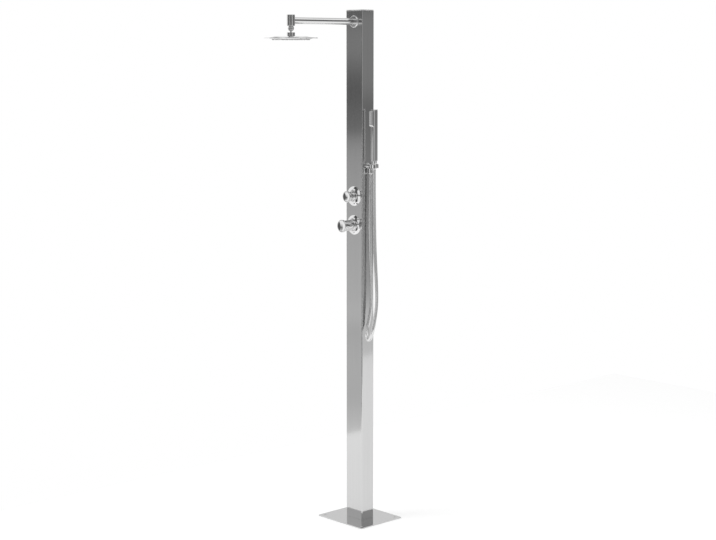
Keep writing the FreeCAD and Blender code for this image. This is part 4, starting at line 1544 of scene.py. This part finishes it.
@dataclass
class Studio:
    """White floor, pale surroundings and soft lamps.

    Each side of the surroundings is a list of heights, from straight down at -1 to straight up at
    1, with the grey that metal sees there. The spans say how far a direction agrees with a side's
    own direction where that side starts to show, and where it shows alone.
    """

    lamps: tuple[Lamp, ...] = (Lamp("key_lamp", (-1.6, -2.6, 3.4), 1.8, 42.0),
                               Lamp("fill_lamp", (3.4, 1.0, 2.6), 1.6, 18.0))
    floor_low: Span = (-1.045, -1.7)
    floor_high: Span = (2.51, 3.0)
    floor_colour: float = 0.8
    floor_glow: float = 0.25
    floor_seen_glow: float = 0.07
    soft_level: float = 0.75
    back: Point = (-0.73, 0.684, 0.0)
    right: Point = (0.684, 0.73, 0.0)
    quarter: Point = (0.17, -0.985, 0.0)
    strip: Point = (1.0, 0.0, 0.0)
    strip_level: float = 0.7
    rear_right_level: float = 0.55
    rear_left_level: float = 0.95
    near_left_level: float = 0.10
    ramp_heights: Span = (-0.9, 0.9)
    right_span: Span = (-0.7, 0.7)
    far_right_span: Span = (0.80, 0.92)
    from_left_span: Span = (-0.2, 0.2)
    rear_span: Span = (0.16, 0.24)
    near_span: Span = (-0.16, -0.24)
    back_span: Span = (0.955, 0.99)
    back_above_span: Span = (0.88, 0.97)
    above_span: Span = (0.24, 0.34)
    front_span: Span = (-0.5, -0.9)
    quarter_span: Span = (0.95, 0.985)
    strip_span: Span = (0.985, 0.995)
    left_side: Levels = (
        (-0.60, 0.06), (-0.50, 0.96), (-0.262, 0.86), (-0.2400, 0.79), (-0.2370, 0.72),
        (-0.2266, 0.65), (-0.2204, 0.59), (-0.1955, 0.60), (-0.1730, 0.54), (-0.1679, 0.62),
        (-0.1641, 0.64), (-0.1578, 0.59), (-0.1262, 0.55), (-0.1008, 0.52), (-0.0817, 0.44),
        (-0.0690, 0.41), (-0.0566, 0.36), (-0.0548, 0.20), (-0.0397, 0.17), (-0.0245, 0.12),
        (-0.0144, 0.16), (0.0, 0.25), (0.017, 0.25), (0.021, 0.15), (0.032, 0.15),
        (0.10, 0.30), (0.18, 0.40), (0.25, 0.55), (0.36, 0.9), (0.48, 0.9), (0.54, 0.06))
    right_side: Levels = (
        (-0.60, 0.10), (-0.50, 1.0), (-0.283, 0.91), (-0.262, 0.95), (-0.2475, 0.89),
        (-0.2235, 0.79), (-0.211, 0.75), (-0.199, 0.79), (-0.194, 0.70), (-0.1704, 0.71),
        (-0.1641, 0.69), (-0.1578, 0.56), (-0.1515, 0.47), (-0.1262, 0.36), (-0.1008, 0.29),
        (-0.0626, 0.24), (-0.0450, 0.195), (-0.0347, 0.18), (-0.0296, 0.21), (-0.0195, 0.26),
        (0.026, 0.27), (0.036, 0.03), (0.225, 0.03), (0.245, 0.45), (0.300, 0.60),
        (0.318, 0.03), (0.45, 0.03), (0.50, 1.0))
    back_side: Levels = (
        (-0.40, 1.0), (0.10, 0.95), (0.22, 0.76), (0.30, 0.78), (0.40, 1.0))
    front_side: Levels = (
        (-0.60, 0.6), (-0.25, 0.35), (-0.20, 0.13), (-0.066, 0.13), (-0.05, 0.25), (0.05, 0.25),
        (0.10, 0.13), (0.5, 0.13), (0.7, 0.8))
    quarter_side: Levels = (
        (-0.40, 0.9), (-0.056, 1.0), (-0.051, 0.24), (0.10, 0.24), (0.16, 0.8), (0.55, 0.9),
        (0.60, 0.08), (0.75, 0.9))

    def build(self) -> None:
        """Makes the floor, the world and the lamps."""
        self.floor()
        self.world()
        for lamp in self.lamps:
            lamp.hang()
        log.info("studio ready")

    def floor(self) -> None:
        """Makes the floor: a plain pale plane that keeps a soft shadow."""
        shape = bmesh.new()
        (low_x, low_y), (high_x, high_y) = self.floor_low, self.floor_high
        corners = ((low_x, low_y), (high_x, low_y), (high_x, high_y), (low_x, high_y))
        shape.faces.new([shape.verts.new((x, y, 0.0)) for x, y in corners])
        floor = linked("floor", mesh_of("floor", shape))
        material = bpy.data.materials.new("pale_floor")
        material.use_nodes = True
        bench = Bench(material.node_tree)
        bench.tree.nodes.clear()
        matt = bench.add("BsdfDiffuse", {"Color": full_colour(self.floor_colour)}).outputs[0]
        path = bench.add("LightPath").outputs
        strength = bench.math("ADD", self.floor_glow,
                              bench.times(path["Is Camera Ray"], self.floor_seen_glow))
        glow = bench.add("Emission", {"Color": full_colour(1.0), "Strength": strength}).outputs[0]
        lifted = bench.add("AddShader", {0: matt, 1: glow}).outputs[0]
        seen = bench.math("ADD", path["Is Camera Ray"], path["Is Glossy Ray"])
        seen = bench.math("ADD", seen, path["Is Transmission Ray"], clamp=True)
        mixed = bench.add("MixShader", {0: seen, 1: matt, 2: lifted}).outputs[0]
        bench.add("OutputMaterial", {"Surface": mixed})
        floor.data.materials.append(material)

    def world(self) -> None:
        """Makes surroundings that are white to the camera and a soft studio to metal."""
        world = bpy.data.worlds.new("studio")
        bpy.context.scene.world = world
        world.use_nodes = True
        bench = Bench(world.node_tree)
        bench.tree.nodes.clear()
        direction = bench.add("TexCoord").outputs["Generated"]
        height = bench.add("SeparateXYZ", {0: direction}).outputs["Z"]
        level = bench.add("VectorMath", {0: direction, 1: (1, 1, 0)},
                          operation="MULTIPLY").outputs[0]
        level = bench.add("VectorMath", {0: level}, operation="NORMALIZE").outputs[0]
        place = bench.spread(height, self.ramp_heights)
        left, right, back, front, quarter = (bench.ramp(place, self.stops(side)) for side in (
            self.left_side, self.right_side, self.back_side, self.front_side,
            self.quarter_side))
        shown = self.sides(bench, level, left, right)
        rearward = bench.dot(level, self.back)
        high_back = bench.times(bench.spread(height, self.above_span),
                                bench.spread(rearward, self.back_above_span))
        behind = bench.math("MAXIMUM", bench.spread(rearward, self.back_span), high_back)
        shown = bench.blend(behind, shown, back)
        shown = bench.blend(bench.spread(rearward, self.front_span), shown, front)
        nearby = bench.dot(level, self.quarter)
        shown = bench.blend(bench.spread(nearby, self.quarter_span), shown, quarter)
        beside = bench.dot(level, self.strip)
        shown = bench.blend(bench.spread(beside, self.strip_span), shown, self.strip_level)
        path = bench.add("LightPath").outputs
        shown = bench.blend(path["Is Diffuse Ray"], shown, self.soft_level)
        shown = bench.blend(path["Is Camera Ray"], shown, 1.0)
        background = bench.add("Background", {"Color": shown, "Strength": 1.0}).outputs[0]
        bench.add("OutputWorld", {"Surface": background})

    def sides(self, bench: Bench, level: bpy.types.NodeSocket, left: bpy.types.NodeSocket,
              right: bpy.types.NodeSocket) -> bpy.types.NodeSocket:
        """Lays the left and right sides round the object, with their plain far parts.

        Args:
            bench: The bench on the world's tree.
            level: The direction without its height.
            left: The left side's colour.
            right: The right side's colour.

        Returns:
            The colour's socket.
        """
        rearward, rightward = bench.dot(level, self.back), bench.dot(level, self.right)
        far_right = bench.blend(bench.spread(rightward, self.far_right_span),
                                self.rear_right_level, right)
        shown = bench.blend(bench.spread(rightward, self.right_span), left, far_right)
        for span, plain in ((self.rear_span, self.rear_left_level),
                            (self.near_span, self.near_left_level)):
            part = bench.blend(bench.spread(rightward, self.from_left_span), plain, shown)
            shown = bench.blend(bench.spread(rearward, span), shown, part)
        return shown

    def stops(self, heights: Levels) -> list[tuple[float, Colour]]:
        """Turns heights of a direction with grey levels into places on a ramp."""
        low, high = self.ramp_heights
        return [((height - low) / (high - low), grey(level)) for height, level in heights]


def main() -> None:
    """Builds the scene in order."""
    logging.basicConfig(level=logging.INFO)
    bpy.context.scene.view_settings.view_transform = "Standard"
    PhotoCamera().build()
    wardrobe = Wardrobe(Effects())
    wardrobe.dress_nodes()
    fitter = Fitter(wardrobe)
    hose = HangingHose().build(HoseEnds().build(fitter))
    wardrobe.wear(hose, wardrobe.skin)
    Column().build(fitter)
    HandOutlet().build(fitter)
    Control("mixer", height=1.1745, reach=0.067, sleeve=0.021, flange=0.025).build(fitter)
    Control("diverter", height=1.2865, reach=0.041, sleeve=0.018, flange=0.022).build(fitter)
    Overhead().build(fitter)
    HandShower().build(fitter)
    Studio().build()


if __name__ == "__main__":
    main()
